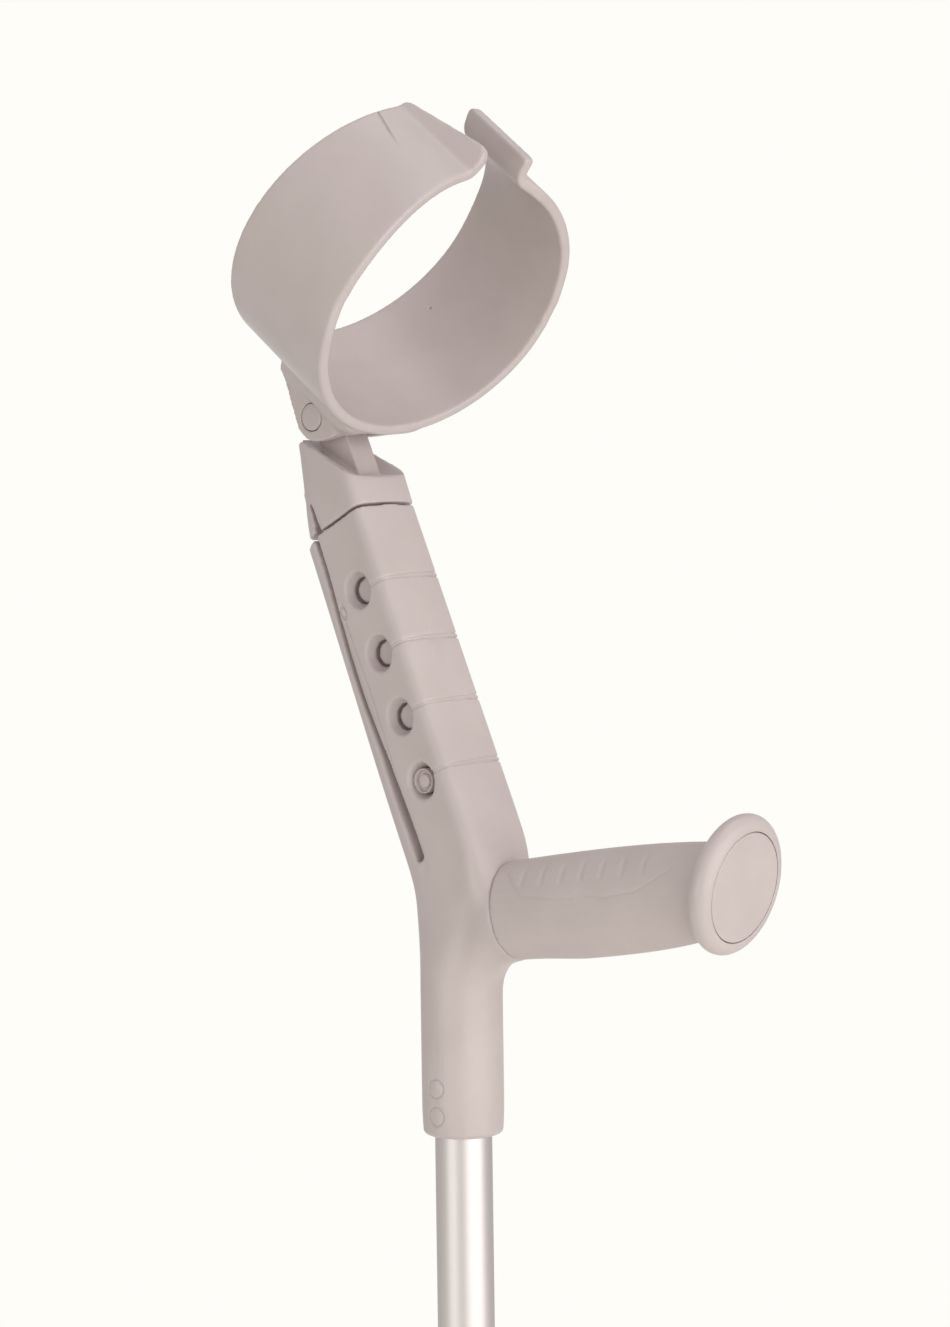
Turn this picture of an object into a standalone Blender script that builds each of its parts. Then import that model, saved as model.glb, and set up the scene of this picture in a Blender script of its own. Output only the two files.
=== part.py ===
# Forearm crutch: telescopic aluminium leg, moulded handle with a leaning arm, sliding and swivelling cuff.
# Metres, +Z up. The origin is the middle of the rubber tip's sole. +X is the way the handle points.
import math

import bmesh
import bpy
from mathutils import Matrix, Vector

MM = 0.001

# General fits
FIT_GAP = 0.3 * MM  # air between two pieces that touch on the real crutch
SLIDE_GAP = 0.5 * MM  # air round the bar that slides in the arm
CUT_PAST = 20.0 * MM  # how far a cutter runs out past the surface it opens

# Leg tubes
HANDLE_HEIGHT = 850.0 * MM  # where the handle's axis meets the tube's axis, above the floor
UPPER_TUBE_DIA = 22.0 * MM
UPPER_TUBE_WALL = 1.2 * MM
UPPER_TUBE_BELOW_HANDLE = 470.0 * MM
UPPER_TUBE_ABOVE_HANDLE = 2.0 * MM
LOWER_TUBE_WALL = 1.2 * MM
LOWER_TUBE_ABOVE_BUTTON = 60.0 * MM
LEG_HOLE_COUNT = 10
LEG_HOLE_PITCH = 25.0 * MM
LEG_HOLE_DIA = 8.4 * MM
LEG_HOLE_FROM_END = 55.0 * MM
LEG_HOLE_IN_USE = 5  # counted from the lowest hole

# Leg snap button and its spring
LEG_BUTTON_DIA = 7.6 * MM
LEG_BUTTON_PROUD = 3.2 * MM
LEG_BUTTON_FLANGE_DIA = 10.0 * MM
LEG_BUTTON_FLANGE_THICK = 1.2 * MM
LEG_SPRING_WIDTH = 6.0 * MM
LEG_SPRING_THICK = 0.8 * MM
LEG_SPRING_LENGTH = 42.0 * MM

# Guide plug of the lower tube and guide collar of the upper tube
GUIDE_FLANGE_THICK = 4.0 * MM
GUIDE_PLUG_LENGTH = 18.0 * MM
GUIDE_BORE_DIA = 9.0 * MM
COLLAR_WALL = 2.4 * MM
COLLAR_LENGTH = 30.0 * MM
COLLAR_LIP = 5.0 * MM
COLLAR_RIB_COUNT = 3
COLLAR_RIB_PITCH = 6.0 * MM
COLLAR_RIB_RISE = 0.8 * MM

# Rubber tip
FERRULE_HEIGHT = 52.0 * MM
FERRULE_SOLE_THICK = 12.0 * MM
FERRULE_SOLE_DIA = 40.0 * MM
FERRULE_TOP_WALL = 3.6 * MM
FERRULE_RING_COUNT = 3
FERRULE_RING_PITCH = 6.0 * MM
FERRULE_RING_RISE = 1.3 * MM
TREAD_GROOVE_DEPTH = 2.2 * MM
TREAD_GROOVE_WIDTH = 2.6 * MM
TREAD_GROOVE_RADII = (9.5 * MM, 15.5 * MM)
WASHER_THICK = 1.5 * MM

# Tube socket of the handle body
SOCKET_WALL = 4.8 * MM
SOCKET_BELOW_HANDLE = 83.0 * MM
SOCKET_EDGE_RADIUS = 3.0 * MM

# Leaning arm: lengths run along the arm from its lowest cuff hole, depths run forward from the hole line
ARM_LEAN = math.radians(24.0)
ARM_HOLE_X = -6.1 * MM
ARM_HOLE_RISE = 53.5 * MM  # lowest hole above the handle's axis
ARM_ABOVE_TOP_HOLE = 28.6 * MM
ARM_FRONT_TOP = 17.9 * MM
ARM_FRONT_LOW = 17.5 * MM
ARM_BACK_TOP = 24.9 * MM
ARM_BACK_LOW = 28.6 * MM
ARM_HALF_WIDTH = 16.2 * MM  # at the front corners
ARM_BACK_HALF_WIDTH = 8.8 * MM
ARM_CHANNEL_BELOW_BAR = 5.0 * MM
CUFF_HOLE_COUNT = 4
CUFF_HOLE_PITCH = 26.3 * MM
CUFF_HOLE_DIA = 10.6 * MM
CUFF_HOLE_DISH_DIA = 15.2 * MM
CUFF_HOLE_DISH_DEPTH = 3.0 * MM
BACK_GROOVE_WIDTH = 3.0 * MM
BACK_GROOVE_INSET = 11.6 * MM  # from the arm's back edge to the middle of the groove
BACK_GROOVE_WEB = 7.0 * MM  # half of what is left between the two grooves
BACK_GROOVE_END = -26.0 * MM

# Sliding bar, shroud and hinge tongue
BAR_HALF_WIDTH = 9.7 * MM
BAR_FRONT = 13.0 * MM
BAR_BACK = 9.7 * MM
BAR_WALL = 3.2 * MM
BAR_EDGE_RADIUS = 1.5 * MM
BAR_BELOW_BUTTON = 20.0 * MM
BAR_ROOF = 15.5 * MM  # solid part of the bar below the arm's top
SHROUD_GAP = 1.0 * MM
SHROUD_HEIGHT = 41.0 * MM  # above the arm's top
SHROUD_FRONT_TOP = 18.9 * MM
SHROUD_BACK_FOOT = 23.4 * MM
SHROUD_BACK_TOP = 9.0 * MM
SHROUD_WALL = 3.0 * MM
SHROUD_RIM = 1.0 * MM  # level edge that the scoop leaves beside the trough
SHROUD_GROOVE_HEIGHT = 11.0 * MM
SHROUD_GROOVE_FOOT = 4.2 * MM  # width of its open lower end
SCOOP_SLOPE = math.radians(50.2)
SCOOP_GAP = 2.0 * MM  # between the scoop and the cheeks of the cuff
TROUGH_DEPTH = 3.0 * MM  # below the scoop, beside the tongue
TROUGH_FRONT = 16.9 * MM
TONGUE_HALF_WIDTH = 6.0 * MM

# Cuff snap button and its spring
CUFF_BUTTON_DIA = 9.6 * MM
CUFF_BUTTON_SUNK = 1.0 * MM  # below the side of the arm
CUFF_BUTTON_FLANGE_DIA = 12.4 * MM
CUFF_BUTTON_FLANGE_THICK = 1.8 * MM
CUFF_SPRING_WIDTH = 8.0 * MM
CUFF_SPRING_THICK = 0.8 * MM
CUFF_SPRING_LENGTH = 17.0 * MM

# Cuff hinge
PIN_ABOVE_ARM = 42.7 * MM
PIN_FORWARD = 5.5 * MM
PIN_DIA = 7.0 * MM
PIN_HEAD_DIA = 10.6 * MM
PIN_HEAD_THICK = 2.6 * MM
PIN_CAP_GRIP = 4.4 * MM
PIN_CAP_STUB_DIA = 3.4 * MM
BUSH_WALL = 1.2 * MM
CHEEK_HALF_WIDTH = 14.0 * MM
CHEEK_RIM = 3.0 * MM  # round the pin's head
TONGUE_STEP = 1.0 * MM  # how much smaller the tongue's round end is than the cheeks'
CUFF_FORWARD_SWING = math.radians(24.0)
SWING_SPARE = math.radians(2.5)

# Cuff ring, seen along its own axis
CUFF_TIP_BACK = math.radians(62.1)  # from the arm's forward direction down to the ring's axis
RING_ABOVE_PIN = 9.8 * MM  # lowest part of the ring
RING_SHIFT = -5.9 * MM  # ring centre along its axis, from the pin
RING_RAKE = 0.042  # how far both rims move forward for each unit of height
RING_HALF_WIDTH = 60.9 * MM
RING_HALF_DEPTH = 57.6 * MM
RING_WALL = 4.4 * MM
RING_HALF_LENGTH = 28.3 * MM
RING_FRONT_EXTRA = 5.2 * MM  # the front rim reaches further forward over the hinge
RING_END_TAPER = 80.0 * MM
RING_EDGE_RADIUS = 0.9 * MM
MOUTH_NEAR_ANGLE = math.radians(15.7)
MOUTH_FAR_ANGLE = math.radians(-15.5)
LIP_RADIUS = 5.0 * MM
NEAR_LIP_TURN = math.radians(48.0)
NEAR_LIP_LENGTH = 7.0 * MM
NEAR_LIP_FLARE = 0.47  # how much longer the lip is at the front than in the middle
NEAR_END_FRONT = 16.5 * MM  # the strip's half-lengths at its two ends
NEAR_END_BACK = 28.3 * MM
NEAR_CORNER_FRONT = 6.0 * MM
NEAR_CORNER_BACK = 3.5 * MM
FAR_LIP_TURN = math.radians(76.0)
FAR_LIP_LENGTH = 5.8 * MM
FAR_END_FRONT = 18.2 * MM
FAR_END_BACK = 15.0 * MM
FAR_LIP_WING = 4.4 * MM  # the far lip widens backwards towards its edge
FAR_SHOULDER = 4.0 * MM  # the strip's front steps out below the far lip
FAR_CORNER_FRONT = 2.0 * MM
FAR_CORNER_BACK = 3.5 * MM
GUSSET_HALF_WIDTH = 23.5 * MM
GUSSET_RISE = 3.0 * MM  # where the cheeks start to flare, above the pin
GUSSET_FRONT = 23.5 * MM  # ahead of the pin
GUSSET_BACK = 24.6 * MM  # behind the pin
GUSSET_BACK_RISE = 5.5 * MM

# Handle, grip and end flange: lengths run along the handle from the tube's axis
HANDLE_RISE = math.radians(8.7)
PARTING_AT = 29.0 * MM
GRIP_ROOT_HEIGHT = 38.6 * MM
GRIP_PALM_HEIGHT = 39.8 * MM
GRIP_END_HEIGHT = 35.8 * MM
GRIP_ROOT_WIDTH = 30.4 * MM
GRIP_PALM_WIDTH = 31.0 * MM
GRIP_END_WIDTH = 29.0 * MM
GRIP_PALM_AT = 72.0 * MM
CORE_HEIGHT = 26.0 * MM
CORE_WIDTH = 19.0 * MM
FLANGE_FACE_AT = 139.0 * MM
FLANGE_LEAN = math.radians(12.3)  # the flange's top leans away from the hand
FLANGE_THICK = 9.2 * MM
FLANGE_HEIGHT = 52.6 * MM
FLANGE_NARROWING = 0.9  # width over height, for the flange and its disc
DISC_HEIGHT = 41.0 * MM
DISC_THICK = 2.6 * MM
SCREW_HEAD_DIA = 9.0 * MM
SCREW_HEAD_THICK = 3.2 * MM
SCREW_DIA = 4.0 * MM
SCREW_LENGTH = 13.5 * MM
INSERT_DIA = 7.0 * MM
INSERT_LENGTH = 12.0 * MM
INSERT_GROOVE = 0.5 * MM

# Mesh fineness
ROUND_SEGMENTS = 32
SMALL_SEGMENTS = 20
CAGE_POINTS = 16
CAGE_LEVELS = 2
OVAL_POINTS = 30
RING_STEP = math.radians(3.6)
SMOOTH_ANGLE = math.radians(38.0)

# Sizes that follow from the ones above
LOWER_TUBE_DIA = UPPER_TUBE_DIA - 2 * UPPER_TUBE_WALL - 2 * FIT_GAP
LOWER_TUBE_BORE = LOWER_TUBE_DIA - 2 * LOWER_TUBE_WALL
LOWER_TUBE_END = FERRULE_SOLE_THICK + WASHER_THICK + 2 * FIT_GAP
UPPER_TUBE_END = HANDLE_HEIGHT - UPPER_TUBE_BELOW_HANDLE
LEG_BUTTON_HEIGHT = UPPER_TUBE_END + LEG_HOLE_FROM_END + LEG_HOLE_IN_USE * LEG_HOLE_PITCH
LOWER_TUBE_TOP = LEG_BUTTON_HEIGHT + LOWER_TUBE_ABOVE_BUTTON
HANDLE_AXIS = Vector((math.cos(HANDLE_RISE), 0.0, math.sin(HANDLE_RISE)))
HANDLE_UP = Vector((-math.sin(HANDLE_RISE), 0.0, math.cos(HANDLE_RISE)))
FLANGE_TURN = HANDLE_RISE + FLANGE_LEAN
GRIP_END_AT = FLANGE_FACE_AT - (FLANGE_THICK + FIT_GAP) / math.cos(FLANGE_TURN)
SOCKET_DIA = UPPER_TUBE_DIA + 2 * SOCKET_WALL
ARM_LENGTH = (CUFF_HOLE_COUNT - 1) * CUFF_HOLE_PITCH + ARM_ABOVE_TOP_HOLE
ARM_SIDE_AT_HOLES = 0.89 * ARM_HALF_WIDTH
SHROUD_FOOT = ARM_LENGTH + SHROUD_GAP
SHROUD_TOP = ARM_LENGTH + SHROUD_HEIGHT
PIN_ALONG_ARM = ARM_LENGTH + PIN_ABOVE_ARM
CHEEK_RADIUS = PIN_HEAD_DIA / 2 + CHEEK_RIM
TONGUE_RADIUS = CHEEK_RADIUS - TONGUE_STEP
CHEEK_INNER = TONGUE_HALF_WIDTH + FIT_GAP
RING_RISE = RING_ABOVE_PIN + RING_HALF_DEPTH


# Materials


def make_material(name, colour, roughness, metallic=0.0):
    material = bpy.data.materials.new(name)
    material.use_nodes = True
    shader = material.node_tree.nodes["Principled BSDF"]
    shader.inputs["Base Color"].default_value = (*colour, 1.0)
    shader.inputs["Roughness"].default_value = roughness
    shader.inputs["Metallic"].default_value = metallic
    material.diffuse_color = (*colour, 1.0)
    return material


def grey_plastic(name):
    return make_material(name + "_plastic", (0.47, 0.40, 0.38), 0.5)


def soft_grip_rubber(name):
    return make_material(name + "_soft", (0.43, 0.36, 0.35), 0.7)


def anodised_aluminium(name):
    return make_material(name + "_aluminium", (0.62, 0.60, 0.59), 0.32, 1.0)


def bright_steel(name):
    return make_material(name + "_steel", (0.55, 0.55, 0.56), 0.3, 1.0)


def brass(name):
    return make_material(name + "_brass", (0.60, 0.44, 0.18), 0.35, 1.0)


def tip_rubber(name):
    return make_material(name + "_rubber", (0.16, 0.15, 0.15), 0.85)


# Building helpers


def frame_at(name, location, turn, parent=None):
    """An empty turned about Y, to carry the pieces of one assembly."""
    empty = bpy.data.objects.new(name, None)
    bpy.context.scene.collection.objects.link(empty)
    empty.location = location
    empty.rotation_euler = (0.0, turn, 0.0)
    empty.parent = parent
    return empty


def finish_mesh(name, bm, parent=None, material=None):
    """Turn a bmesh into a smooth-shaded object under its parent."""
    bmesh.ops.recalc_face_normals(bm, faces=bm.faces)
    mesh = bpy.data.meshes.new(name)
    bm.to_mesh(mesh)
    bm.free()
    mesh.shade_smooth()
    mesh.set_sharp_from_angle(angle=SMOOTH_ANGLE)
    obj = bpy.data.objects.new(name, mesh)
    bpy.context.scene.collection.objects.link(obj)
    obj.parent = parent
    if material:
        mesh.materials.append(material)
    return obj


def skin(bm, low, high):
    """Quads between two rings of as many vertices."""
    count = len(low)
    for k in range(count):
        bm.faces.new((low[k], low[(k + 1) % count], high[(k + 1) % count], high[k]))


def loft(name, sections, parent=None, material=None):
    """A closed solid through rings of points, with flat ends."""
    bm = bmesh.new()
    rings = [[bm.verts.new(point) for point in section] for section in sections]
    for low, high in zip(rings, rings[1:]):
        skin(bm, low, high)
    bm.faces.new(rings[0])
    bm.faces.new(rings[-1])
    return finish_mesh(name, bm, parent, material)


def tunnel(name, outer, inner, parent=None, material=None):
    """A sleeve: an outer and an inner row of rings, joined at both ends."""
    bm = bmesh.new()
    rows = [[bm.verts.new(point) for point in section] for section in outer + inner[::-1]]
    for low, high in zip(rows, rows[1:] + rows[:1]):
        skin(bm, low, high)
    return finish_mesh(name, bm, parent, material)


def turned(name, profile, parent=None, material=None, segments=ROUND_SEGMENTS, closed=False, narrow=1.0):
    """A solid turned about Z from (radius, height) points; an open profile ends on the axis."""
    bm = bmesh.new()
    rows = []
    for radius, height in profile:
        if radius < 1e-9:
            rows.append([bm.verts.new((0.0, 0.0, height))])
            continue
        turn = 2 * math.pi / segments
        rows.append([
            bm.verts.new((radius * math.cos(k * turn), narrow * radius * math.sin(k * turn), height))
            for k in range(segments)
        ])
    following = rows[1:] + rows[:1] if closed else rows[1:]
    for low, high in zip(rows, following):
        if len(low) == 1:
            for k in range(segments):
                bm.faces.new((low[0], high[(k + 1) % segments], high[k]))
        elif len(high) == 1:
            for k in range(segments):
                bm.faces.new((low[k], low[(k + 1) % segments], high[0]))
        else:
            skin(bm, low, high)
    return finish_mesh(name, bm, parent, material)


def prism(name, outline, low, high, axis="Y", parent=None, material=None):
    """An outline of (x, z) points extruded along Y, or of (y, z) points along X."""
    if axis == "Y":
        sections = [[(a, level, b) for a, b in outline] for level in (low, high)]
    else:
        sections = [[(level, a, b) for a, b in outline] for level in (low, high)]
    return loft(name, sections, parent, material)


def block(name, low, high, parent=None, material=None):
    """A box between two corners."""
    outline = ((low[0], low[2]), (high[0], low[2]), (high[0], high[2]), (low[0], high[2]))
    return prism(name, outline, low[1], high[1], "Y", parent, material)


def arc(centre_x, centre_y, radius, start, end, steps):
    """Points along an arc, both ends included."""
    angles = [start + (end - start) * k / steps for k in range(steps + 1)]
    return [(centre_x + radius * math.cos(a), centre_y + radius * math.sin(a)) for a in angles]


def lay_along_y(obj, x=0.0, y=0.0, z=0.0):
    """Turn a piece made about Z so that its +Z points along -Y, with its foot at a given place."""
    obj.rotation_euler = (math.pi / 2, 0.0, 0.0)
    obj.location = (x, y, z)
    return obj


def combine(target, tool, operation="DIFFERENCE"):
    """Cut, join or intersect with another object, which becomes a hidden tool."""
    tool.hide_render = True
    tool.display_type = "WIRE"
    modifier = target.modifiers.new(tool.name, "BOOLEAN")
    modifier.operation = operation
    modifier.solver = "EXACT"
    modifier.object = tool
    return target


# Leg


def leg_hole_heights():
    start = UPPER_TUBE_END + LEG_HOLE_FROM_END
    return [start + k * LEG_HOLE_PITCH for k in range(LEG_HOLE_COUNT)]


def tube(name, diameter, wall, low, high):
    outer = diameter / 2
    inner = outer - wall
    profile = [(outer, high), (outer, low), (inner, low), (inner, high)]
    return turned(name, profile, None, anodised_aluminium(name), closed=True)


def drill(target, diameter, reach, height):
    """A round hole through the -Y wall of an upright tube."""
    cutter = turned(
        "%s_hole_%d" % (target.name, round(height / MM)),
        [(0.0, reach), (diameter / 2, reach), (diameter / 2, 0.0), (0.0, 0.0)],
        segments=SMALL_SEGMENTS,
    )
    combine(target, lay_along_y(cutter, z=height))


def build_upper_tube():
    top = HANDLE_HEIGHT + UPPER_TUBE_ABOVE_HANDLE
    obj = tube("upper_tube", UPPER_TUBE_DIA, UPPER_TUBE_WALL, UPPER_TUBE_END, top)
    for height in leg_hole_heights():
        drill(obj, LEG_HOLE_DIA, UPPER_TUBE_DIA, height)
    return obj


def build_lower_tube():
    obj = tube("lower_tube", LOWER_TUBE_DIA, LOWER_TUBE_WALL, LOWER_TUBE_END, LOWER_TUBE_TOP)
    drill(obj, LEG_HOLE_DIA, UPPER_TUBE_DIA, LEG_BUTTON_HEIGHT)
    return obj


def build_lower_tube_guide():
    flange = LOWER_TUBE_DIA / 2
    shank = LOWER_TUBE_BORE / 2 - FIT_GAP
    bore = GUIDE_BORE_DIA / 2
    seat = LOWER_TUBE_TOP + FIT_GAP
    top = seat + GUIDE_FLANGE_THICK
    foot = LOWER_TUBE_TOP - GUIDE_PLUG_LENGTH
    edge = GUIDE_FLANGE_THICK / 4
    profile = [
        (flange - edge, top),
        (flange, top - edge),
        (flange, seat),
        (shank, seat),
        (shank, foot + edge),
        (shank - edge, foot),
        (bore, foot),
        (bore, top),
    ]
    return turned("lower_tube_guide", profile, None, grey_plastic("lower_tube_guide"), closed=True)


def build_upper_tube_collar():
    bore = UPPER_TUBE_DIA / 2 + FIT_GAP
    outer = bore + COLLAR_WALL
    lip_bore = LOWER_TUBE_DIA / 2 + FIT_GAP
    top = UPPER_TUBE_END + COLLAR_LENGTH
    seat = UPPER_TUBE_END - FIT_GAP
    foot = seat - COLLAR_LIP
    edge = COLLAR_WALL / 2
    profile = [(bore + edge / 2, top), (outer - edge, top), (outer, top - edge)]
    middle = (top + foot) / 2
    for k in range(COLLAR_RIB_COUNT):
        centre = middle - (k - (COLLAR_RIB_COUNT - 1) / 2) * COLLAR_RIB_PITCH
        half = COLLAR_RIB_PITCH / 4
        profile += [(outer, centre + half), (outer + COLLAR_RIB_RISE, centre + half / 2)]
        profile += [(outer + COLLAR_RIB_RISE, centre - half / 2), (outer, centre - half)]
    profile += [(outer, foot + 2 * edge), (outer - 2 * edge, foot), (lip_bore, foot)]
    profile += [(lip_bore, seat), (bore, seat), (bore, top - edge / 2)]
    return turned("upper_tube_collar", profile, None, grey_plastic("upper_tube_collar"), closed=True)


def snap_button(name, diameter, tip, flange_diameter, flange_inner, flange_thick):
    """A round-nosed button along -Y; tip and flange_inner are distances from the spring's side."""
    radius = diameter / 2
    nose = radius / 3
    profile = [(0.0, tip)]
    profile += arc(radius - nose, tip - nose, nose, math.pi / 2, 0.0, 4)
    profile += [(radius, flange_inner + flange_thick), (flange_diameter / 2, flange_inner + flange_thick)]
    profile += [(flange_diameter / 2, flange_inner), (0.0, flange_inner)]
    return turned(name, profile, None, grey_plastic(name), SMALL_SEGMENTS)


def leaf_spring(name, front, back, length, width, thick, parent=None):
    """A strip bent to a U below the button: one leg behind the button, one on the far wall."""
    outer = (front + back) / 2
    half = (back - front) / 2
    turn = arc(outer, -length + half, half, math.pi, 2 * math.pi, 12)
    inner_turn = arc(outer, -length + half, half - thick, 2 * math.pi, math.pi, 12)
    outline = [(front, length / 3)] + turn + [(back, length / 4), (back - thick, length / 4)]
    outline += inner_turn + [(front + thick, length / 3)]
    return prism(name, outline, -width / 2, width / 2, "X", parent, bright_steel(name))


def leg_flange_reach():
    """How far out the button's flange sits inside the round lower tube."""
    room = LOWER_TUBE_BORE / 2 - FIT_GAP
    return math.sqrt(room ** 2 - (LEG_BUTTON_FLANGE_DIA / 2) ** 2)


def build_leg_button():
    reach = leg_flange_reach()
    tip = UPPER_TUBE_DIA / 2 + LEG_BUTTON_PROUD
    flange_inner = reach - LEG_BUTTON_FLANGE_THICK
    obj = snap_button(
        "leg_button", LEG_BUTTON_DIA, tip, LEG_BUTTON_FLANGE_DIA, flange_inner, LEG_BUTTON_FLANGE_THICK
    )
    return lay_along_y(obj, z=LEG_BUTTON_HEIGHT)


def build_leg_button_spring():
    front = -(leg_flange_reach() - LEG_BUTTON_FLANGE_THICK - FIT_GAP)
    room = LOWER_TUBE_BORE / 2 - FIT_GAP
    back = math.sqrt(room ** 2 - (LEG_SPRING_WIDTH / 2) ** 2)
    carrier = frame_at("leg_spring_place", (0.0, 0.0, LEG_BUTTON_HEIGHT), 0.0)
    return leaf_spring(
        "leg_button_spring", front, back, LEG_SPRING_LENGTH, LEG_SPRING_WIDTH, LEG_SPRING_THICK, carrier
    )


def build_ferrule():
    bore = LOWER_TUBE_DIA / 2 + FIT_GAP
    neck = bore + FERRULE_TOP_WALL
    sole = FERRULE_SOLE_DIA / 2
    edge = FERRULE_TOP_WALL / 3
    profile = [(bore + edge, FERRULE_HEIGHT), (neck - edge, FERRULE_HEIGHT), (neck, FERRULE_HEIGHT - edge)]
    first = FERRULE_HEIGHT - 1.5 * FERRULE_RING_PITCH
    for k in range(FERRULE_RING_COUNT):
        centre = first - k * FERRULE_RING_PITCH
        quarter = FERRULE_RING_PITCH / 4
        profile += [(neck, centre + quarter), (neck + FERRULE_RING_RISE, centre + quarter / 2)]
        profile += [(neck + FERRULE_RING_RISE, centre - quarter / 2), (neck, centre - quarter)]
    flare = first - (FERRULE_RING_COUNT - 1) * FERRULE_RING_PITCH - FERRULE_RING_PITCH
    profile += [(neck, flare), (neck + (sole - neck) * 0.35, flare * 0.62), (sole, FERRULE_SOLE_THICK * 0.55)]
    profile += [(sole, edge), (sole - edge, 0.0)]
    half = TREAD_GROOVE_WIDTH / 2
    for radius in reversed(TREAD_GROOVE_RADII):
        profile += [(radius + half, 0.0), (radius + half * 0.7, TREAD_GROOVE_DEPTH)]
        profile += [(radius - half * 0.7, TREAD_GROOVE_DEPTH), (radius - half, 0.0)]
    profile += [(0.0, 0.0)]
    inside = [(0.0, FERRULE_SOLE_THICK), (bore, FERRULE_SOLE_THICK), (bore, FERRULE_HEIGHT - edge)]
    return turned("ferrule", inside + profile, None, tip_rubber("ferrule"))


def build_ferrule_washer():
    radius = LOWER_TUBE_DIA / 2
    low = FERRULE_SOLE_THICK + FIT_GAP
    high = low + WASHER_THICK
    edge = WASHER_THICK / 5
    profile = [(0.0, high), (radius - edge, high), (radius, high - edge)]
    profile += [(radius, low + edge), (radius - edge, low), (0.0, low)]
    return turned("ferrule_washer", profile, None, bright_steel("ferrule_washer"))


# Handle body


def circle_section(radius):
    turn = 2 * math.pi / CAGE_POINTS
    swell = 3.0 / (2.0 + math.cos(turn))  # a smoothed cage lies inside its points
    reach = radius * swell
    return [(reach * math.cos(k * turn), reach * math.sin(k * turn)) for k in range(CAGE_POINTS)]


def arm_section(front, back, half_width, back_half):
    """Bowed front, gently drafted sides and a narrow back: (forward, sideways) points, front first."""
    half = [
        (front, 0.0),
        (0.95 * front, 0.70 * half_width),
        (0.86 * front, 1.08 * half_width),
        (0.42 * front, 0.96 * half_width),
        (-0.02 * back, 0.885 * half_width),
        (-0.31 * back, 0.86 * half_width),
        (-0.64 * back, 0.77 * half_width),
        (-0.96 * back, back_half),
        (-back, 0.0),
    ]
    return half + [(u, -v) for u, v in half[-2:0:-1]]


def set_out(section, x, z, lean):
    """Place a flat section in space, its forward direction raised by lean."""
    return [Vector((x + u * math.cos(lean), v, z + u * math.sin(lean))) for u, v in section]


def arm_ring(along, lean=ARM_LEAN):
    share = min(max(along / ARM_LENGTH, 0.0), 1.0)
    front = ARM_FRONT_LOW + (ARM_FRONT_TOP - ARM_FRONT_LOW) * share
    back = ARM_BACK_LOW + (ARM_BACK_TOP - ARM_BACK_LOW) * share
    section = arm_section(front, back, ARM_HALF_WIDTH, ARM_BACK_HALF_WIDTH)
    x = ARM_HOLE_X - along * math.sin(ARM_LEAN)
    z = ARM_HOLE_RISE + along * math.cos(ARM_LEAN)
    return set_out(section, x, z, lean)


def handle_section(along, height, width, angles, lift=0.0, turn=0.0):
    """An oval round the handle's axis; turn tips its top away from the hand."""
    up = Matrix.Rotation(turn, 3, "Y") @ HANDLE_UP
    centre = HANDLE_AXIS * along + HANDLE_UP * lift
    side = Vector((0.0, 1.0, 0.0))
    return [centre + side * (width / 2 * math.cos(a)) + up * (height / 2 * math.sin(a)) for a in angles]


def body_cage():
    """Rough quads of the three-way moulding: socket and arm are one bent branch, the handle grows from it."""
    radius = SOCKET_DIA / 2
    heights = [-share * SOCKET_BELOW_HANDLE for share in (1.25, 0.75, 0.52, 0.38)]
    lower_rings = [set_out(circle_section(radius), 0.0, z, 0.0) for z in heights]
    below = set_out(circle_section(radius), 0.0, -0.26 * SOCKET_BELOW_HANDLE, 0.0)
    above = arm_ring(-0.67 * ARM_HOLE_RISE, 0.85 * ARM_LEAN)
    between = [[a.lerp(b, share) for a, b in zip(below, above)] for share in (0.34, 0.67)]
    upper_rings = [arm_ring(share * ARM_LENGTH) for share in (-0.17, 0.1, 0.4, 0.7, 1.0, 1.3)]
    bm = bmesh.new()
    layout = lower_rings + [below] + between + [above] + upper_rings
    rings = [[bm.verts.new(point) for point in ring] for ring in layout]
    first = len(lower_rings)
    last = first + len(between) + 1
    for i, (low, high) in enumerate(zip(rings, rings[1:])):
        for k in range(-CAGE_POINTS // 2, CAGE_POINTS // 2):
            if first <= i < last and -2 <= k < 2:
                continue  # the opening that the handle grows from
            bm.faces.new((low[k], low[k + 1], high[k + 1], high[k]))
    bm.faces.new(rings[0])
    bm.faces.new(rings[-1])
    edge = [rings[first][k] for k in range(-2, 3)]
    edge += [ring[2] for ring in rings[first + 1:last]]
    edge += [rings[last][k] for k in range(2, -3, -1)]
    edge += [ring[-2] for ring in reversed(rings[first + 1:last])]
    grow_handle(bm, edge)
    return bm


def grow_handle(bm, edge):
    """Rings of the handle's root, from the opening's edge out past the parting plane."""
    angles = [math.radians(a) for a in (-135, -112, -90, -68, -45, -15, 15, 45, 68, 90, 112, 135, 165, 195)]
    swell = 3.0 / (2.0 + math.cos(2 * math.pi / len(angles)))
    height = GRIP_ROOT_HEIGHT * swell
    width = GRIP_ROOT_WIDTH * swell
    stations = (
        (0.83, 1.03, 1.02, math.radians(14.0)),
        (1.00, 1.01, 1.00, math.radians(5.0)),
        (1.25, 1.00, 1.00, 0.0),
        (1.70, 0.98, 0.99, 0.0),
    )
    last = edge
    for share, tall, wide, turn in stations:
        section = handle_section(share * PARTING_AT, tall * height, wide * width, angles, 0.0, turn)
        ring = [bm.verts.new(point) for point in section]
        skin(bm, last, ring)
        last = ring
    bm.faces.new(last)


def oval_angles():
    return [2 * math.pi * k / OVAL_POINTS for k in range(OVAL_POINTS)]


def end_turn(along):
    """The handle's sections tip over bit by bit until they match the leaning end flange."""
    share = (along - GRIP_PALM_AT) / (GRIP_END_AT - GRIP_PALM_AT)
    return FLANGE_TURN * max(share, 0.0) ** 2


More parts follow.
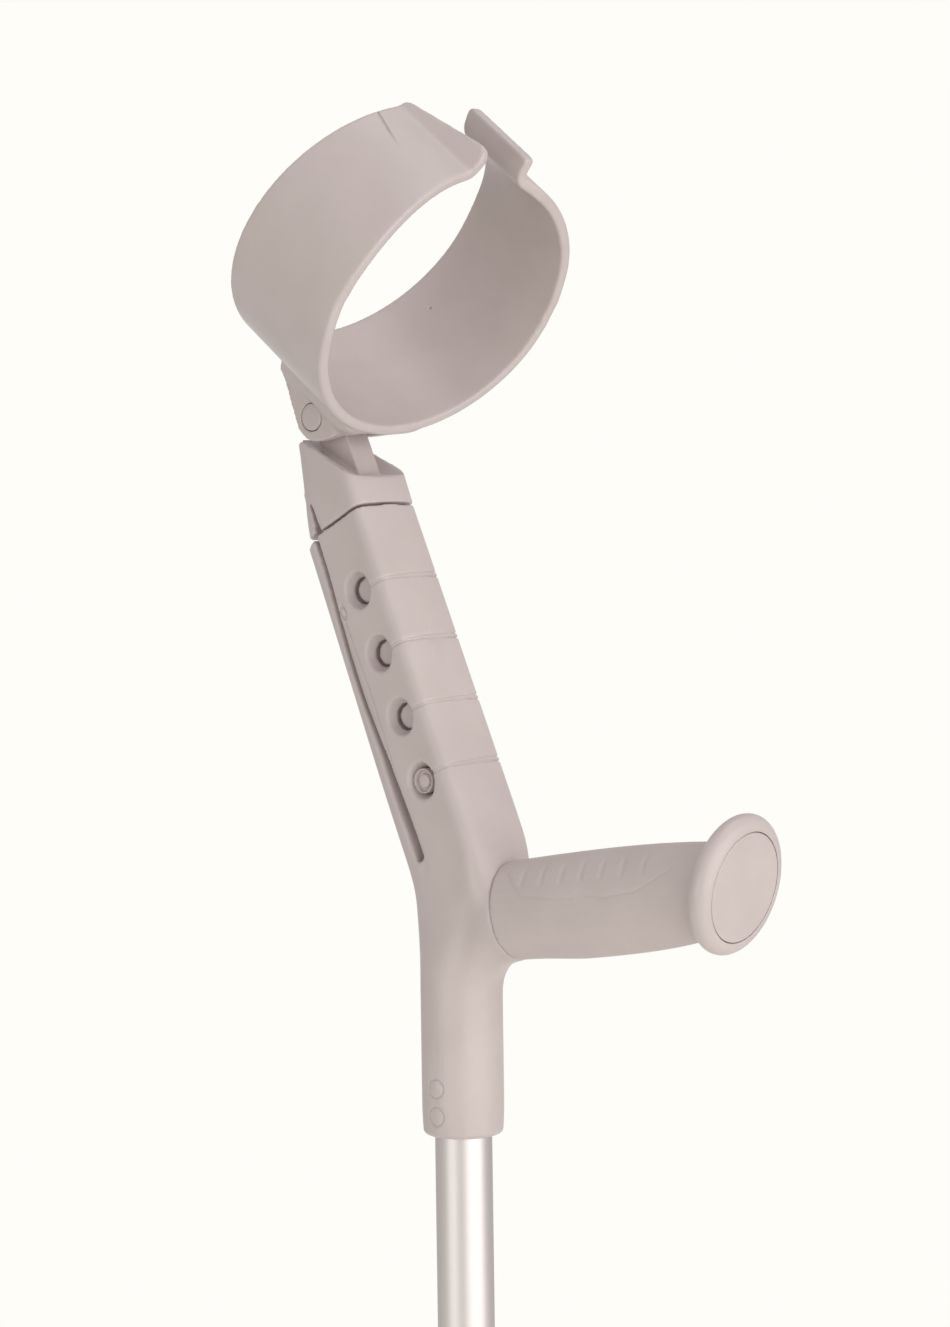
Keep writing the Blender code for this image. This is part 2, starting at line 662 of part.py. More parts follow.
def core_rows(start, steps, grow):
    """Sections of the handle's core, or of the bore round it when grown."""
    rows = []
    for k in range(steps + 1):
        along = start + (GRIP_END_AT - start) * k / steps
        height = CORE_HEIGHT + 2 * grow
        width = CORE_WIDTH + 2 * grow
        rows.append(handle_section(along, height, width, oval_angles(), 0.0, end_turn(along)))
    return rows


def rounded_rectangle(x_low, x_high, y_low, y_high, radius, steps=4):
    """Corner-rounded outline, anticlockwise."""
    corners = (
        (x_high - radius, y_high - radius, 0.0),
        (x_low + radius, y_high - radius, math.pi / 2),
        (x_low + radius, y_low + radius, math.pi),
        (x_high - radius, y_low + radius, 1.5 * math.pi),
    )
    outline = []
    for x, y, start in corners:
        outline += arc(x, y, radius, start, start + math.pi / 2, steps)
    return outline


def upright_prism(name, outline, low, high, parent=None, material=None):
    """An outline of (x, y) points extruded along Z."""
    return loft(name, [[(x, y, z) for x, y in outline] for z in (low, high)], parent, material)


def socket_end_cutter(handle):
    """Trims the socket to length and rounds its lower edge."""
    radius = SOCKET_DIA / 2
    edge = SOCKET_EDGE_RADIUS
    foot = -SOCKET_BELOW_HANDLE
    outside = radius + CUT_PAST
    profile = [(0.0, foot)] + arc(radius - edge, foot + edge, edge, -math.pi / 2, 0.0, 6)
    profile += [(outside, foot + edge), (outside, foot - 2 * CUT_PAST), (0.0, foot - 2 * CUT_PAST)]
    return turned("socket_end_cutter", profile, handle)


def tube_bore_cutter(handle):
    radius = UPPER_TUBE_DIA / 2 + FIT_GAP
    top = UPPER_TUBE_ABOVE_HANDLE + FIT_GAP
    foot = -SOCKET_BELOW_HANDLE - CUT_PAST
    profile = [(0.0, top), (radius, top), (radius, foot), (0.0, foot)]
    return turned("tube_bore_cutter", profile, handle)


def channel_cutter(arm):
    """The channel that the cuff's bar slides in."""
    outline = bar_outline(-SLIDE_GAP, BAR_EDGE_RADIUS + SLIDE_GAP)
    low = -BAR_BELOW_BUTTON - ARM_CHANNEL_BELOW_BAR
    return upright_prism("channel_cutter", outline, low, ARM_LENGTH + CUT_PAST, arm)


def cuff_hole_cutter(arm, number):
    """A round hole with a dished mouth through the near wall of the arm."""
    hole = CUFF_HOLE_DIA / 2
    dish = CUFF_HOLE_DISH_DIA / 2
    face = ARM_SIDE_AT_HOLES
    profile = [(0.0, face + CUT_PAST), (dish, face + CUT_PAST), (dish, face)]
    profile += [(hole, face - CUFF_HOLE_DISH_DEPTH), (hole, 0.0), (0.0, 0.0)]
    cutter = turned("cuff_hole_%d" % number, profile, arm, segments=SMALL_SEGMENTS)
    return lay_along_y(cutter, z=number * CUFF_HOLE_PITCH)


def groove_cutter(name, low, high, web, reach, parent):
    """A slot with a round lower end along (forward, along) points, cut in from one side."""
    half = BACK_GROOVE_WIDTH / 2
    outline = [(high[0] + half, high[1])] + [(high[0] - half, high[1])]
    outline += arc(low[0], low[1], half, math.pi, 2 * math.pi, 6)
    return prism(name, outline, web, reach, "Y", parent)


def back_groove_cutter(arm, side):
    low = (BACK_GROOVE_INSET - ARM_BACK_LOW, BACK_GROOVE_END)
    high = (BACK_GROOVE_INSET - ARM_BACK_TOP, ARM_LENGTH + CUT_PAST)
    name = "back_groove_near" if side < 0 else "back_groove_far"
    return groove_cutter(name, low, high, side * BACK_GROOVE_WEB, side * CUT_PAST, arm)


def insert_pocket_cutter(flange):
    radius = INSERT_DIA / 2 + FIT_GAP
    floor = -FLANGE_THICK - INSERT_LENGTH - 2 * FIT_GAP
    profile = [(0.0, 0.0), (radius, 0.0), (radius, floor), (0.0, floor)]
    return turned("insert_pocket_cutter", profile, flange, segments=SMALL_SEGMENTS)


def build_handle_body(handle, arm, grip, flange):
    name = "handle_body"
    body = finish_mesh(name, body_cage(), handle, grey_plastic(name))
    smoothing = body.modifiers.new("smoothing", "SUBSURF")
    smoothing.levels = CAGE_LEVELS
    smoothing.render_levels = CAGE_LEVELS
    wide = 2 * ARM_HALF_WIDTH
    arm_top = block("arm_top_cutter", (-wide, -wide, ARM_LENGTH), (wide, wide, 2 * ARM_LENGTH), arm)
    combine(body, arm_top)
    parting = PARTING_AT - FIT_GAP / 2
    combine(body, block("parting_cutter", (parting, -wide, -wide), (2 * PARTING_AT, wide, wide), grip))
    combine(body, loft("handle_core", core_rows(PARTING_AT / 2, 10, 0.0), handle), "UNION")
    combine(body, socket_end_cutter(handle))
    combine(body, tube_bore_cutter(handle))
    combine(body, channel_cutter(arm))
    for number in range(CUFF_HOLE_COUNT):
        combine(body, cuff_hole_cutter(arm, number))
    for side in (-1, 1):
        combine(body, back_groove_cutter(arm, side))
    combine(body, insert_pocket_cutter(flange))
    return body


# Grip and its end


def swelling(along, root, palm, end):
    """A size that runs from the grip's root over its fullest part to its end."""
    if along < GRIP_PALM_AT:
        return palm + (root - palm) * ((GRIP_PALM_AT - along) / (GRIP_PALM_AT - PARTING_AT)) ** 2
    return palm + (end - palm) * ((along - GRIP_PALM_AT) / (GRIP_END_AT - GRIP_PALM_AT)) ** 2


def build_handle_grip(handle):
    name = "handle_grip"
    start = PARTING_AT + FIT_GAP / 2
    steps = 14
    outer = []
    for k in range(steps + 1):
        along = start + (GRIP_END_AT - start) * k / steps
        height = swelling(along, GRIP_ROOT_HEIGHT, GRIP_PALM_HEIGHT, GRIP_END_HEIGHT)
        width = swelling(along, GRIP_ROOT_WIDTH, GRIP_PALM_WIDTH, GRIP_END_WIDTH)
        outer.append(handle_section(along, height, width, oval_angles(), 0.0, end_turn(along)))
    inner = core_rows(start, steps, FIT_GAP)
    return tunnel(name, outer, inner, handle, soft_grip_rubber(name))


def screw_seat():
    """Height of the screw head's underside, from the face of the disc."""
    return -DISC_THICK - 2 * FIT_GAP - SCREW_HEAD_THICK


def build_handle_end_flange(flange):
    name = "handle_end_flange"
    recess = DISC_HEIGHT / 2 + FIT_GAP
    seat = -DISC_THICK - FIT_GAP
    reach = FLANGE_HEIGHT / 2 - recess
    half = FLANGE_THICK / 2
    bulge = arc(0.0, 0.0, 1.0, math.pi / 2, -math.pi / 2, 12)
    rim = [(recess + reach * x, half * y - half) for x, y in bulge]
    profile = [(0.0, seat), (recess, seat)] + rim + [(0.0, -FLANGE_THICK)]
    obj = turned(name, profile, flange, grey_plastic(name), narrow=FLANGE_NARROWING)
    head = SCREW_HEAD_DIA / 2 + FIT_GAP
    shank = SCREW_DIA / 2 + FIT_GAP
    floor = screw_seat() - FIT_GAP
    hole = [(0.0, CUT_PAST), (head, CUT_PAST), (head, floor), (shank, floor)]
    hole += [(shank, -CUT_PAST), (0.0, -CUT_PAST)]
    return combine(obj, turned("flange_screw_cutter", hole, flange, segments=SMALL_SEGMENTS))


def build_handle_end_disc(flange):
    name = "handle_end_disc"
    radius = DISC_HEIGHT / 2
    edge = DISC_THICK / 5
    profile = [(0.0, 0.0), (radius - edge, 0.0), (radius, -edge), (radius, -DISC_THICK), (0.0, -DISC_THICK)]
    return turned(name, profile, flange, grey_plastic(name), narrow=FLANGE_NARROWING)


def build_handle_end_screw(flange):
    name = "handle_end_screw"
    seat = screw_seat()
    head = SCREW_HEAD_DIA / 2
    shank = SCREW_DIA / 2
    edge = SCREW_HEAD_THICK / 4
    profile = [(0.0, seat + SCREW_HEAD_THICK), (head - edge, seat + SCREW_HEAD_THICK)]
    profile += [(head, seat + SCREW_HEAD_THICK - edge), (head, seat), (shank, seat)]
    tip = seat - SCREW_LENGTH
    profile += [(shank, tip + edge), (shank - edge, tip), (0.0, tip)]
    obj = turned(name, profile, flange, bright_steel(name), SMALL_SEGMENTS)
    for turn in (0.0, math.pi / 2):
        slot = block(
            "screw_slot_%d" % round(math.degrees(turn)),
            (-0.55 * head, -0.12 * head, seat + 0.4 * SCREW_HEAD_THICK),
            (0.55 * head, 0.12 * head, CUT_PAST),
            flange,
        )
        slot.rotation_euler = (0.0, 0.0, turn)
        combine(obj, slot)
    return obj


def build_handle_end_insert(flange):
    name = "handle_end_insert"
    radius = INSERT_DIA / 2
    bore = SCREW_DIA / 2 + FIT_GAP
    top = -FLANGE_THICK - FIT_GAP
    foot = top - INSERT_LENGTH
    profile = [(bore, top), (radius, top)]
    for share in (0.35, 0.7):
        middle = top - share * INSERT_LENGTH
        profile += [(radius, middle + INSERT_GROOVE), (radius - INSERT_GROOVE, middle + INSERT_GROOVE)]
        profile += [(radius - INSERT_GROOVE, middle - INSERT_GROOVE), (radius, middle - INSERT_GROOVE)]
    profile += [(radius, foot), (bore, foot)]
    return turned(name, profile, flange, brass(name), SMALL_SEGMENTS, closed=True)


# Slider with the cuff's snap button


def shroud_ring(along):
    share = min(max((along - SHROUD_FOOT) / (SHROUD_TOP - SHROUD_FOOT), 0.0), 1.0)
    front = ARM_FRONT_TOP + (SHROUD_FRONT_TOP - ARM_FRONT_TOP) * min(4 * share, 1.0)
    back = SHROUD_BACK_FOOT + (SHROUD_BACK_TOP - SHROUD_BACK_FOOT) * share
    section = arm_section(front, back, ARM_HALF_WIDTH, ARM_BACK_HALF_WIDTH)
    return [(u, v, along) for u, v in section]


def scoop_directions():
    """The scoop's slant in (forward, along) terms: its base point, the way it faces and the way it falls."""
    normal = Vector((math.sin(SCOOP_SLOPE), math.cos(SCOOP_SLOPE)))
    fall = Vector((normal.y, -normal.x))
    base = Vector((PIN_FORWARD, PIN_ALONG_ARM)) - normal * (CHEEK_RADIUS + SCOOP_GAP)
    return base, normal, fall


def scoop_cutter(arm):
    """A slanting half-space that clears the cheeks of the cuff as they swing."""
    base, normal, fall = scoop_directions()
    far = 2 * SHROUD_HEIGHT
    outline = [base + fall * far, base - fall * far]
    outline += [base + (normal - fall) * far, base + (normal + fall) * far]
    wide = 2 * ARM_HALF_WIDTH
    return prism("scoop_cutter", outline, -wide, wide, "Y", arm)


def trough_cutter(arm):
    """A shallow valley down the scoop, deepest beside the tongue and closed by the front wall."""
    base, normal, fall = scoop_directions()
    slope = TROUGH_DEPTH / (ARM_SIDE_AT_HOLES - SHROUD_RIM - TONGUE_HALF_WIDTH)
    brim = ARM_SIDE_AT_HOLES - SHROUD_RIM + CUT_PAST / slope
    profile = [(-brim, CUT_PAST), (-TONGUE_HALF_WIDTH, -TROUGH_DEPTH)]
    profile += [(TONGUE_HALF_WIDTH, -TROUGH_DEPTH), (brim, CUT_PAST)]
    sections = []
    for reach in (-SHROUD_HEIGHT, (TROUGH_FRONT - base.x) / fall.x):
        place = base + fall * reach
        rings = [(place + normal * height, side) for side, height in profile]
        sections.append([(point.x, side, point.y) for point, side in rings])
    return loft("trough_cutter", sections, arm)


def bar_outline(inset, radius):
    half = BAR_HALF_WIDTH - inset
    return rounded_rectangle(inset - BAR_BACK, BAR_FRONT - inset, -half, half, radius)


def tongue_tool(arm):
    foot = SHROUD_FOOT + SHROUD_WALL
    outline = [(PIN_FORWARD - TONGUE_RADIUS, foot), (PIN_FORWARD + TONGUE_RADIUS, foot)]
    outline += arc(PIN_FORWARD, PIN_ALONG_ARM, TONGUE_RADIUS, 0.0, math.pi, 16)
    return prism("tongue", outline, -TONGUE_HALF_WIDTH, TONGUE_HALF_WIDTH, "Y", arm)


def round_tool(name, radius, low, high, parent, x=0.0, z=0.0):
    """A plain round cutter along -Y."""
    profile = [(0.0, high), (radius, high), (radius, low), (0.0, low)]
    return lay_along_y(turned(name, profile, parent, segments=SMALL_SEGMENTS), x=x, z=z)


def bush_bore_radius():
    return PIN_DIA / 2 + BUSH_WALL + 2 * FIT_GAP


def shroud_groove_cutter(arm, side):
    """A short groove above the arm's own one, which runs out to a point."""
    line = BACK_GROOVE_INSET - ARM_BACK_TOP
    half = SHROUD_GROOVE_FOOT / 2
    foot = SHROUD_FOOT - CUT_PAST / 2
    outline = [(line - half, foot), (line + half, foot), (line + half, SHROUD_FOOT)]
    outline += [(line, SHROUD_FOOT + SHROUD_GROOVE_HEIGHT), (line - half, SHROUD_FOOT)]
    name = "shroud_groove_near" if side < 0 else "shroud_groove_far"
    return prism(name, outline, side * BACK_GROOVE_WEB, side * CUT_PAST, "Y", arm)


def build_cuff_slider(arm):
    name = "cuff_slider"
    heights = [SHROUD_FOOT - CUT_PAST, SHROUD_FOOT, SHROUD_FOOT + 0.25 * SHROUD_HEIGHT]
    heights += [SHROUD_FOOT + 0.6 * SHROUD_HEIGHT, SHROUD_TOP, SHROUD_TOP + CUT_PAST]
    slider = loft(name, [shroud_ring(height) for height in heights], arm, grey_plastic(name))
    smoothing = slider.modifiers.new("smoothing", "SUBSURF")
    smoothing.levels = CAGE_LEVELS
    smoothing.render_levels = CAGE_LEVELS
    wide = 2 * ARM_HALF_WIDTH
    low = SHROUD_FOOT - 2 * CUT_PAST
    combine(slider, block("shroud_foot_cutter", (-wide, -wide, low), (wide, wide, SHROUD_FOOT), arm))
    combine(slider, scoop_cutter(arm))
    combine(slider, trough_cutter(arm))
    combine(slider, tongue_tool(arm), "UNION")
    bar_top = SHROUD_FOOT + SHROUD_WALL
    outside = bar_outline(0.0, BAR_EDGE_RADIUS)
    combine(slider, upright_prism("slider_bar", outside, -BAR_BELOW_BUTTON, bar_top, arm), "UNION")
    inside = bar_outline(BAR_WALL, BAR_EDGE_RADIUS / 3)
    open_end = -BAR_BELOW_BUTTON - CUT_PAST
    hollow = upright_prism("bar_hollow", inside, open_end, ARM_LENGTH - BAR_ROOF, arm)
    combine(slider, hollow)
    reach = 2 * BAR_HALF_WIDTH
    combine(slider, round_tool("button_bore", CUFF_BUTTON_DIA / 2 + FIT_GAP, 0.0, reach, arm))
    bush_bore = round_tool("bush_bore", bush_bore_radius(), -reach, reach, arm, PIN_FORWARD, PIN_ALONG_ARM)
    combine(slider, bush_bore)
    for side in (-1, 1):
        combine(slider, shroud_groove_cutter(arm, side))
    return slider


def cuff_flange_inner():
    """Distance from the mid-plane to the inner face of the button's flange."""
    return BAR_HALF_WIDTH - BAR_WALL - FIT_GAP - CUFF_BUTTON_FLANGE_THICK


def build_cuff_button(arm):
    tip = ARM_SIDE_AT_HOLES - CUFF_BUTTON_SUNK
    obj = snap_button(
        "cuff_button",
        CUFF_BUTTON_DIA,
        tip,
        CUFF_BUTTON_FLANGE_DIA,
        cuff_flange_inner(),
        CUFF_BUTTON_FLANGE_THICK,
    )
    obj.parent = arm
    return lay_along_y(obj)


def build_cuff_button_spring(arm):
    front = FIT_GAP - cuff_flange_inner()
    back = BAR_HALF_WIDTH - BAR_WALL - FIT_GAP
    return leaf_spring(
        "cuff_button_spring", front, back, CUFF_SPRING_LENGTH, CUFF_SPRING_WIDTH, CUFF_SPRING_THICK, arm
    )


# Cuff and its hinge


def ring_mid(angle):
    """A point on the ring's middle line and its outward direction; angles run from top to near side."""
    wide = RING_HALF_WIDTH - RING_WALL / 2
    deep = RING_HALF_DEPTH - RING_WALL / 2
    point = Vector((0.0, -wide * math.sin(angle), RING_RISE + deep * math.cos(angle)))
    outward = Vector((0.0, -math.sin(angle) / wide, math.cos(angle) / deep)).normalized()
    return point, outward


def lip_place(angle, way, lip_turn, reach):
    """A point on an out-turned lip and the way it faces; reach runs outwards from the ring's end."""
    start, outward = ring_mid(angle)
    ahead = Vector((0.0, -outward.z, outward.y)) * way
    turn = min(reach / LIP_RADIUS, lip_turn)
    point = start + ahead * (LIP_RADIUS * math.sin(turn)) + outward * (LIP_RADIUS * (1 - math.cos(turn)))
    straight = max(reach - LIP_RADIUS * lip_turn, 0.0)
    point += (ahead * math.cos(turn) + outward * math.sin(turn)) * straight
    return point, outward * math.cos(turn) - ahead * math.sin(turn)


def lip_reaches(lip_turn, length):
    """Steps along a lip: even round its bend, closer together towards its edge."""
    bend = LIP_RADIUS * lip_turn
    steps = 5
    reaches = [bend * k / steps for k in range(1, steps + 1)]
    return reaches + [bend + length * (1 - (1 - k / steps) ** 2) for k in range(1, steps + 1)]


def strip_place(station, x):
    """The strip's middle and outward direction at a station, x ahead of the ring's centre."""
    angle, way, lip_turn, reach = station
    if way == 0:
        return ring_mid(angle)
    flare = NEAR_LIP_FLARE if way < 0 else 0.0
    return lip_place(angle, way, lip_turn, reach * (1 + flare * x / RING_HALF_LENGTH))


def ring_stations():
    """Stations of the strip from the near lip round under the arm to the far lip."""
    first = MOUTH_NEAR_ANGLE
    last = 2 * math.pi + MOUTH_FAR_ANGLE
    steps = math.ceil((last - first) / RING_STEP)
    near = [(first, -1, NEAR_LIP_TURN, reach) for reach in lip_reaches(NEAR_LIP_TURN, NEAR_LIP_LENGTH)]
    round_part = [(first + (last - first) * k / steps, 0, 0.0, 0.0) for k in range(steps + 1)]
    far = [(last, 1, FAR_LIP_TURN, reach) for reach in lip_reaches(FAR_LIP_TURN, FAR_LIP_LENGTH)]
    return near[::-1] + round_part + far


def smooth_step(share):
    """From 0 to 1 with a soft start and end."""
    share = min(max(share, 0.0), 1.0)
    return share * share * (3 - 2 * share)


def end_half_length(distance, end_half, corner):
    """Half-length of the strip at a distance from its end: drawn in towards the end, with a round corner."""
    half = end_half + (RING_HALF_LENGTH - end_half) * smooth_step(distance / RING_END_TAPER)
    missing = max(corner - distance, 0.0)
    return half - corner + math.sqrt(corner ** 2 - missing ** 2)


def ring_section(station, done, left):
    """Outline of the strip across its length, done and left being the distances to its two ends."""
    middle = strip_place(station, 0.0)[0]
    front = min(
        end_half_length(done, NEAR_END_FRONT, NEAR_CORNER_FRONT),
        end_half_length(left, FAR_END_FRONT, FAR_CORNER_FRONT),
    )
    back = min(
        end_half_length(done, NEAR_END_BACK, NEAR_CORNER_BACK),
        end_half_length(left, FAR_END_BACK, FAR_CORNER_BACK),
    )
    low = max((RING_RISE - middle.z) / RING_HALF_DEPTH, 0.0)
    far_lip = LIP_RADIUS * FAR_LIP_TURN + FAR_LIP_LENGTH
    front += RING_FRONT_EXTRA * math.sqrt(low)
    front += FAR_SHOULDER * smooth_step(left / far_lip - 0.7) * (1 - smooth_step(left / RING_END_TAPER))
    back += FAR_LIP_WING * max(1 - left / far_lip, 0.0)
    half = RING_WALL / 2
    section = []
    for x, r in rounded_rectangle(-back, front, -half, half, RING_EDGE_RADIUS, 2):
        point, outward = strip_place(station, x)
        point = point + outward * r
        point.x += x + RING_SHIFT + RING_RAKE * (point.z - RING_RISE)
        section.append(point)
    return section


def ring_sections():
    stations = ring_stations()
    places = [strip_place(station, 0.0)[0] for station in stations]
    travelled = [0.0]
    for a, b in zip(places, places[1:]):
        travelled.append(travelled[-1] + (b - a).length)
    whole = travelled[-1]
    return [ring_section(station, done, whole - done) for station, done in zip(stations, travelled)]


def tangent_angle(x, z, radius, side):
    """Direction of the touching point on a circle at the pin, for the straight line to (x, z)."""
    return math.atan2(z, x) + side * math.acos(radius / math.hypot(x, z))


def cheek_outline():
    """Side view of the hinge base: round at the pin, running out to both rims of the ring."""
    start = tangent_angle(-GUSSET_BACK, GUSSET_BACK_RISE, CHEEK_RADIUS, 1)
    end = tangent_angle(GUSSET_FRONT, RING_ABOVE_PIN, CHEEK_RADIUS, -1) + 2 * math.pi
    top = RING_RISE
    outline = arc(0.0, 0.0, CHEEK_RADIUS, start, end, 18)
    outline += [(GUSSET_FRONT, RING_ABOVE_PIN), (GUSSET_FRONT, top)]
    return outline + [(-GUSSET_BACK, top), (-GUSSET_BACK, GUSSET_BACK_RISE)]


def gusset_outline():
    """Front view of the hinge base: two straight cheeks that flare out into the ring's underside."""
    def seat(sideways):
        angle = math.pi - math.asin(sideways / (RING_HALF_WIDTH - RING_WALL / 2))
        return ring_mid(angle)[0].z

    flare = (CHEEK_HALF_WIDTH + GUSSET_HALF_WIDTH) / 2
    half = [
        (CHEEK_HALF_WIDTH, -2 * CHEEK_RADIUS),
        (CHEEK_HALF_WIDTH, GUSSET_RISE),
        (0.6 * CHEEK_HALF_WIDTH + 0.4 * flare, GUSSET_RISE + 0.35 * CHEEK_RADIUS),
        (flare, 0.75 * RING_ABOVE_PIN),
        (GUSSET_HALF_WIDTH, seat(GUSSET_HALF_WIDTH)),
        (CHEEK_HALF_WIDTH, seat(CHEEK_HALF_WIDTH)),
        (CHEEK_HALF_WIDTH / 2, seat(CHEEK_HALF_WIDTH / 2)),
    ]
    return half + [(0.0, seat(0.0))] + [(-v, z) for v, z in reversed(half)]


def tongue_pocket_cutter(cuff):
    """The slot between the cheeks; its roof clears the tongue when the cuff is swung right forward."""
    roof = TONGUE_RADIUS + 2 * FIT_GAP
    tilt = CUFF_TIP_BACK - math.pi / 2 + CUFF_FORWARD_SWING + SWING_SPARE
    far = 2 * RING_HALF_LENGTH
    start = (far * math.cos(tilt) - roof * math.sin(tilt), far * math.sin(tilt) + roof * math.cos(tilt))
    outline = [start, (far, -far), (-far, -far), (-far, roof)]
    outline += arc(0.0, 0.0, roof, math.pi / 2, math.pi / 2 + tilt, 4)
    return prism("tongue_pocket_cutter", outline, -CHEEK_INNER, CHEEK_INNER, "Y", cuff)


def build_cuff(cuff):
    name = "cuff"
    obj = loft(name, ring_sections(), cuff, grey_plastic(name))
    base = prism("cuff_base", cheek_outline(), -GUSSET_HALF_WIDTH, GUSSET_HALF_WIDTH, "Y", cuff)
    far = 2 * RING_HALF_LENGTH
    combine(base, prism("cuff_gusset", gusset_outline(), -far, far, "X", cuff), "INTERSECT")
    combine(base, tongue_pocket_cutter(cuff))
    combine(obj, base, "UNION")
    reach = 2 * CHEEK_HALF_WIDTH
    combine(obj, round_tool("cuff_pin_bore", PIN_DIA / 2 + FIT_GAP, -reach, reach, cuff))
    head = PIN_HEAD_DIA / 2 + FIT_GAP
    seat = CHEEK_HALF_WIDTH - PIN_HEAD_THICK - FIT_GAP
    combine(obj, round_tool("pin_head_seat", head, seat, reach, cuff))
    combine(obj, round_tool("pin_cap_seat", head, -reach, -seat, cuff))
    return obj


def build_cuff_pivot_pin(cuff):
    name = "cuff_pivot_pin"
    head = PIN_HEAD_DIA / 2
    shank = PIN_DIA / 2
    face = CHEEK_HALF_WIDTH
    under = face - PIN_HEAD_THICK
    end = FIT_GAP - under
    bore = PIN_CAP_STUB_DIA / 2 + FIT_GAP
    edge = PIN_HEAD_THICK / 5
    profile = [(0.0, face), (head - edge, face), (head, face - edge), (head, under), (shank, under)]
    profile += [(shank, end), (bore, end), (bore, end + PIN_CAP_GRIP), (0.0, end + PIN_CAP_GRIP)]
    return lay_along_y(turned(name, profile, cuff, grey_plastic(name), SMALL_SEGMENTS))


def build_cuff_pivot_cap(cuff):
    name = "cuff_pivot_cap"
    head = PIN_HEAD_DIA / 2
    stub = PIN_CAP_STUB_DIA / 2
    face = -CHEEK_HALF_WIDTH
    under = face + PIN_HEAD_THICK
    edge = PIN_HEAD_THICK / 5
    profile = [(0.0, face), (head - edge, face), (head, face + edge), (head, under), (stub, under)]
    profile += [(stub, under + PIN_CAP_GRIP), (0.0, under + PIN_CAP_GRIP)]
    return lay_along_y(turned(name, profile, cuff, grey_plastic(name), SMALL_SEGMENTS))


def build_cuff_pivot_bush(arm):
    name = "cuff_pivot_bush"
    outer = bush_bore_radius() - FIT_GAP
    inner = outer - BUSH_WALL
    half = TONGUE_HALF_WIDTH
    profile = [(outer, half), (inner, half), (inner, -half), (outer, -half)]
    obj = turned(name, profile, arm, brass(name), SMALL_SEGMENTS, closed=True)
    return lay_along_y(obj, x=PIN_FORWARD, z=PIN_ALONG_ARM)


def clear_scene():
    for obj in list(bpy.data.objects):
        bpy.data.objects.remove(obj, do_unlink=True)


def build_crutch():
    handle = frame_at("handle_frame", (0.0, 0.0, HANDLE_HEIGHT), 0.0)
    arm = frame_at("arm_frame", (ARM_HOLE_X, 0.0, ARM_HOLE_RISE), -ARM_LEAN, handle)
    grip = frame_at("grip_frame", (0.0, 0.0, 0.0), -HANDLE_RISE, handle)
    flange = frame_at("flange_frame", HANDLE_AXIS * FLANGE_FACE_AT, math.pi / 2 + FLANGE_LEAN, handle)
    cuff = frame_at("cuff_frame", (PIN_FORWARD, 0.0, PIN_ALONG_ARM), CUFF_TIP_BACK, arm)
    build_ferrule()
    build_ferrule_washer()
    build_lower_tube()
    build_lower_tube_guide()
    build_leg_button()
    build_leg_button_spring()
    build_upper_tube()
    build_upper_tube_collar()
    build_handle_body(handle, arm, grip, flange)
    build_handle_grip(handle)
    build_handle_end_flange(flange)
    build_handle_end_disc(flange)
    build_handle_end_screw(flange)
    build_handle_end_insert(flange)
    build_cuff_slider(arm)
    build_cuff_button(arm)
    build_cuff_button_spring(arm)
    build_cuff_pivot_bush(arm)
    build_cuff(cuff)
    build_cuff_pivot_pin(cuff)
    build_cuff_pivot_cap(cuff)


clear_scene()
build_crutch()
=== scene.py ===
import math
import bpy
import numpy as np
from mathutils import Matrix, Vector


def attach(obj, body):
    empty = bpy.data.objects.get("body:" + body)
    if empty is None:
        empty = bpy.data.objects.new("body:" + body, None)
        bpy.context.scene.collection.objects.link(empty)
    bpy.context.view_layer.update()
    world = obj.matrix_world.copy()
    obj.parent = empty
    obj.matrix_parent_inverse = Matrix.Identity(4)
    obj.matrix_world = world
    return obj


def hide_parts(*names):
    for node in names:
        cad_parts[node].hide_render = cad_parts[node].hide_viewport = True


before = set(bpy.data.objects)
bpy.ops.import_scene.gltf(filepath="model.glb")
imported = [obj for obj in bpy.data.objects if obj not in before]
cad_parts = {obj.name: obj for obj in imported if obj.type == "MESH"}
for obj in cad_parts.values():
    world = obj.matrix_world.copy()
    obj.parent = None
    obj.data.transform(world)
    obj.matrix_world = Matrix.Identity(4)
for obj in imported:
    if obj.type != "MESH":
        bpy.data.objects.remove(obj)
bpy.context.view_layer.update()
print("frame loaded:", len(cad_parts), "nodes")

mm = 0.001

# the three directions that the mouldings follow, in the frame's metres
crutchLayout = {
    "handleRoot": (0.0, 0.0, 850.0 * mm),  # the handle's axis meets the tube's axis here
    "handleRise": math.radians(8.7),
    "flangeAt": 139.0 * mm,  # face of the end disc, along the handle
    "flangeLean": math.radians(12.3),
    "lowestHole": (-6.1 * mm, 0.0, 903.5 * mm),
    "armLean": math.radians(24.0),
    "holePitch": 26.3 * mm,
    "holeCount": 4,
    "pinAlong": 150.2 * mm,  # hinge pin above the lowest hole, along the arm
    "pinForward": 5.5 * mm,
    "cuffTip": math.radians(62.1),
}


def tiltedFrame(origin, tilt):
    turned = Matrix.Rotation(-tilt, 4, "Y")  # forward edge goes up
    return Matrix.Translation(Vector(origin)) @ turned


armFrame = tiltedFrame(crutchLayout["lowestHole"], crutchLayout["armLean"])
handleFrame = tiltedFrame(crutchLayout["handleRoot"], crutchLayout["handleRise"])
pinPlace = armFrame @ Vector((crutchLayout["pinForward"], 0, crutchLayout["pinAlong"]))
cuffFrame = tiltedFrame(pinPlace, crutchLayout["armLean"] - crutchLayout["cuffTip"])
flangePlace = handleFrame @ Vector((crutchLayout["flangeAt"], 0, 0))
flangeFrame = tiltedFrame(flangePlace, -math.pi / 2 - crutchLayout["flangeLean"])
upright = Matrix.Identity(4)
armForward, armUpwards = (np.array(armFrame.to_3x3().col[k]) * mm for k in (0, 2))  # one millimetre each


# selecting and finishing, as by hand

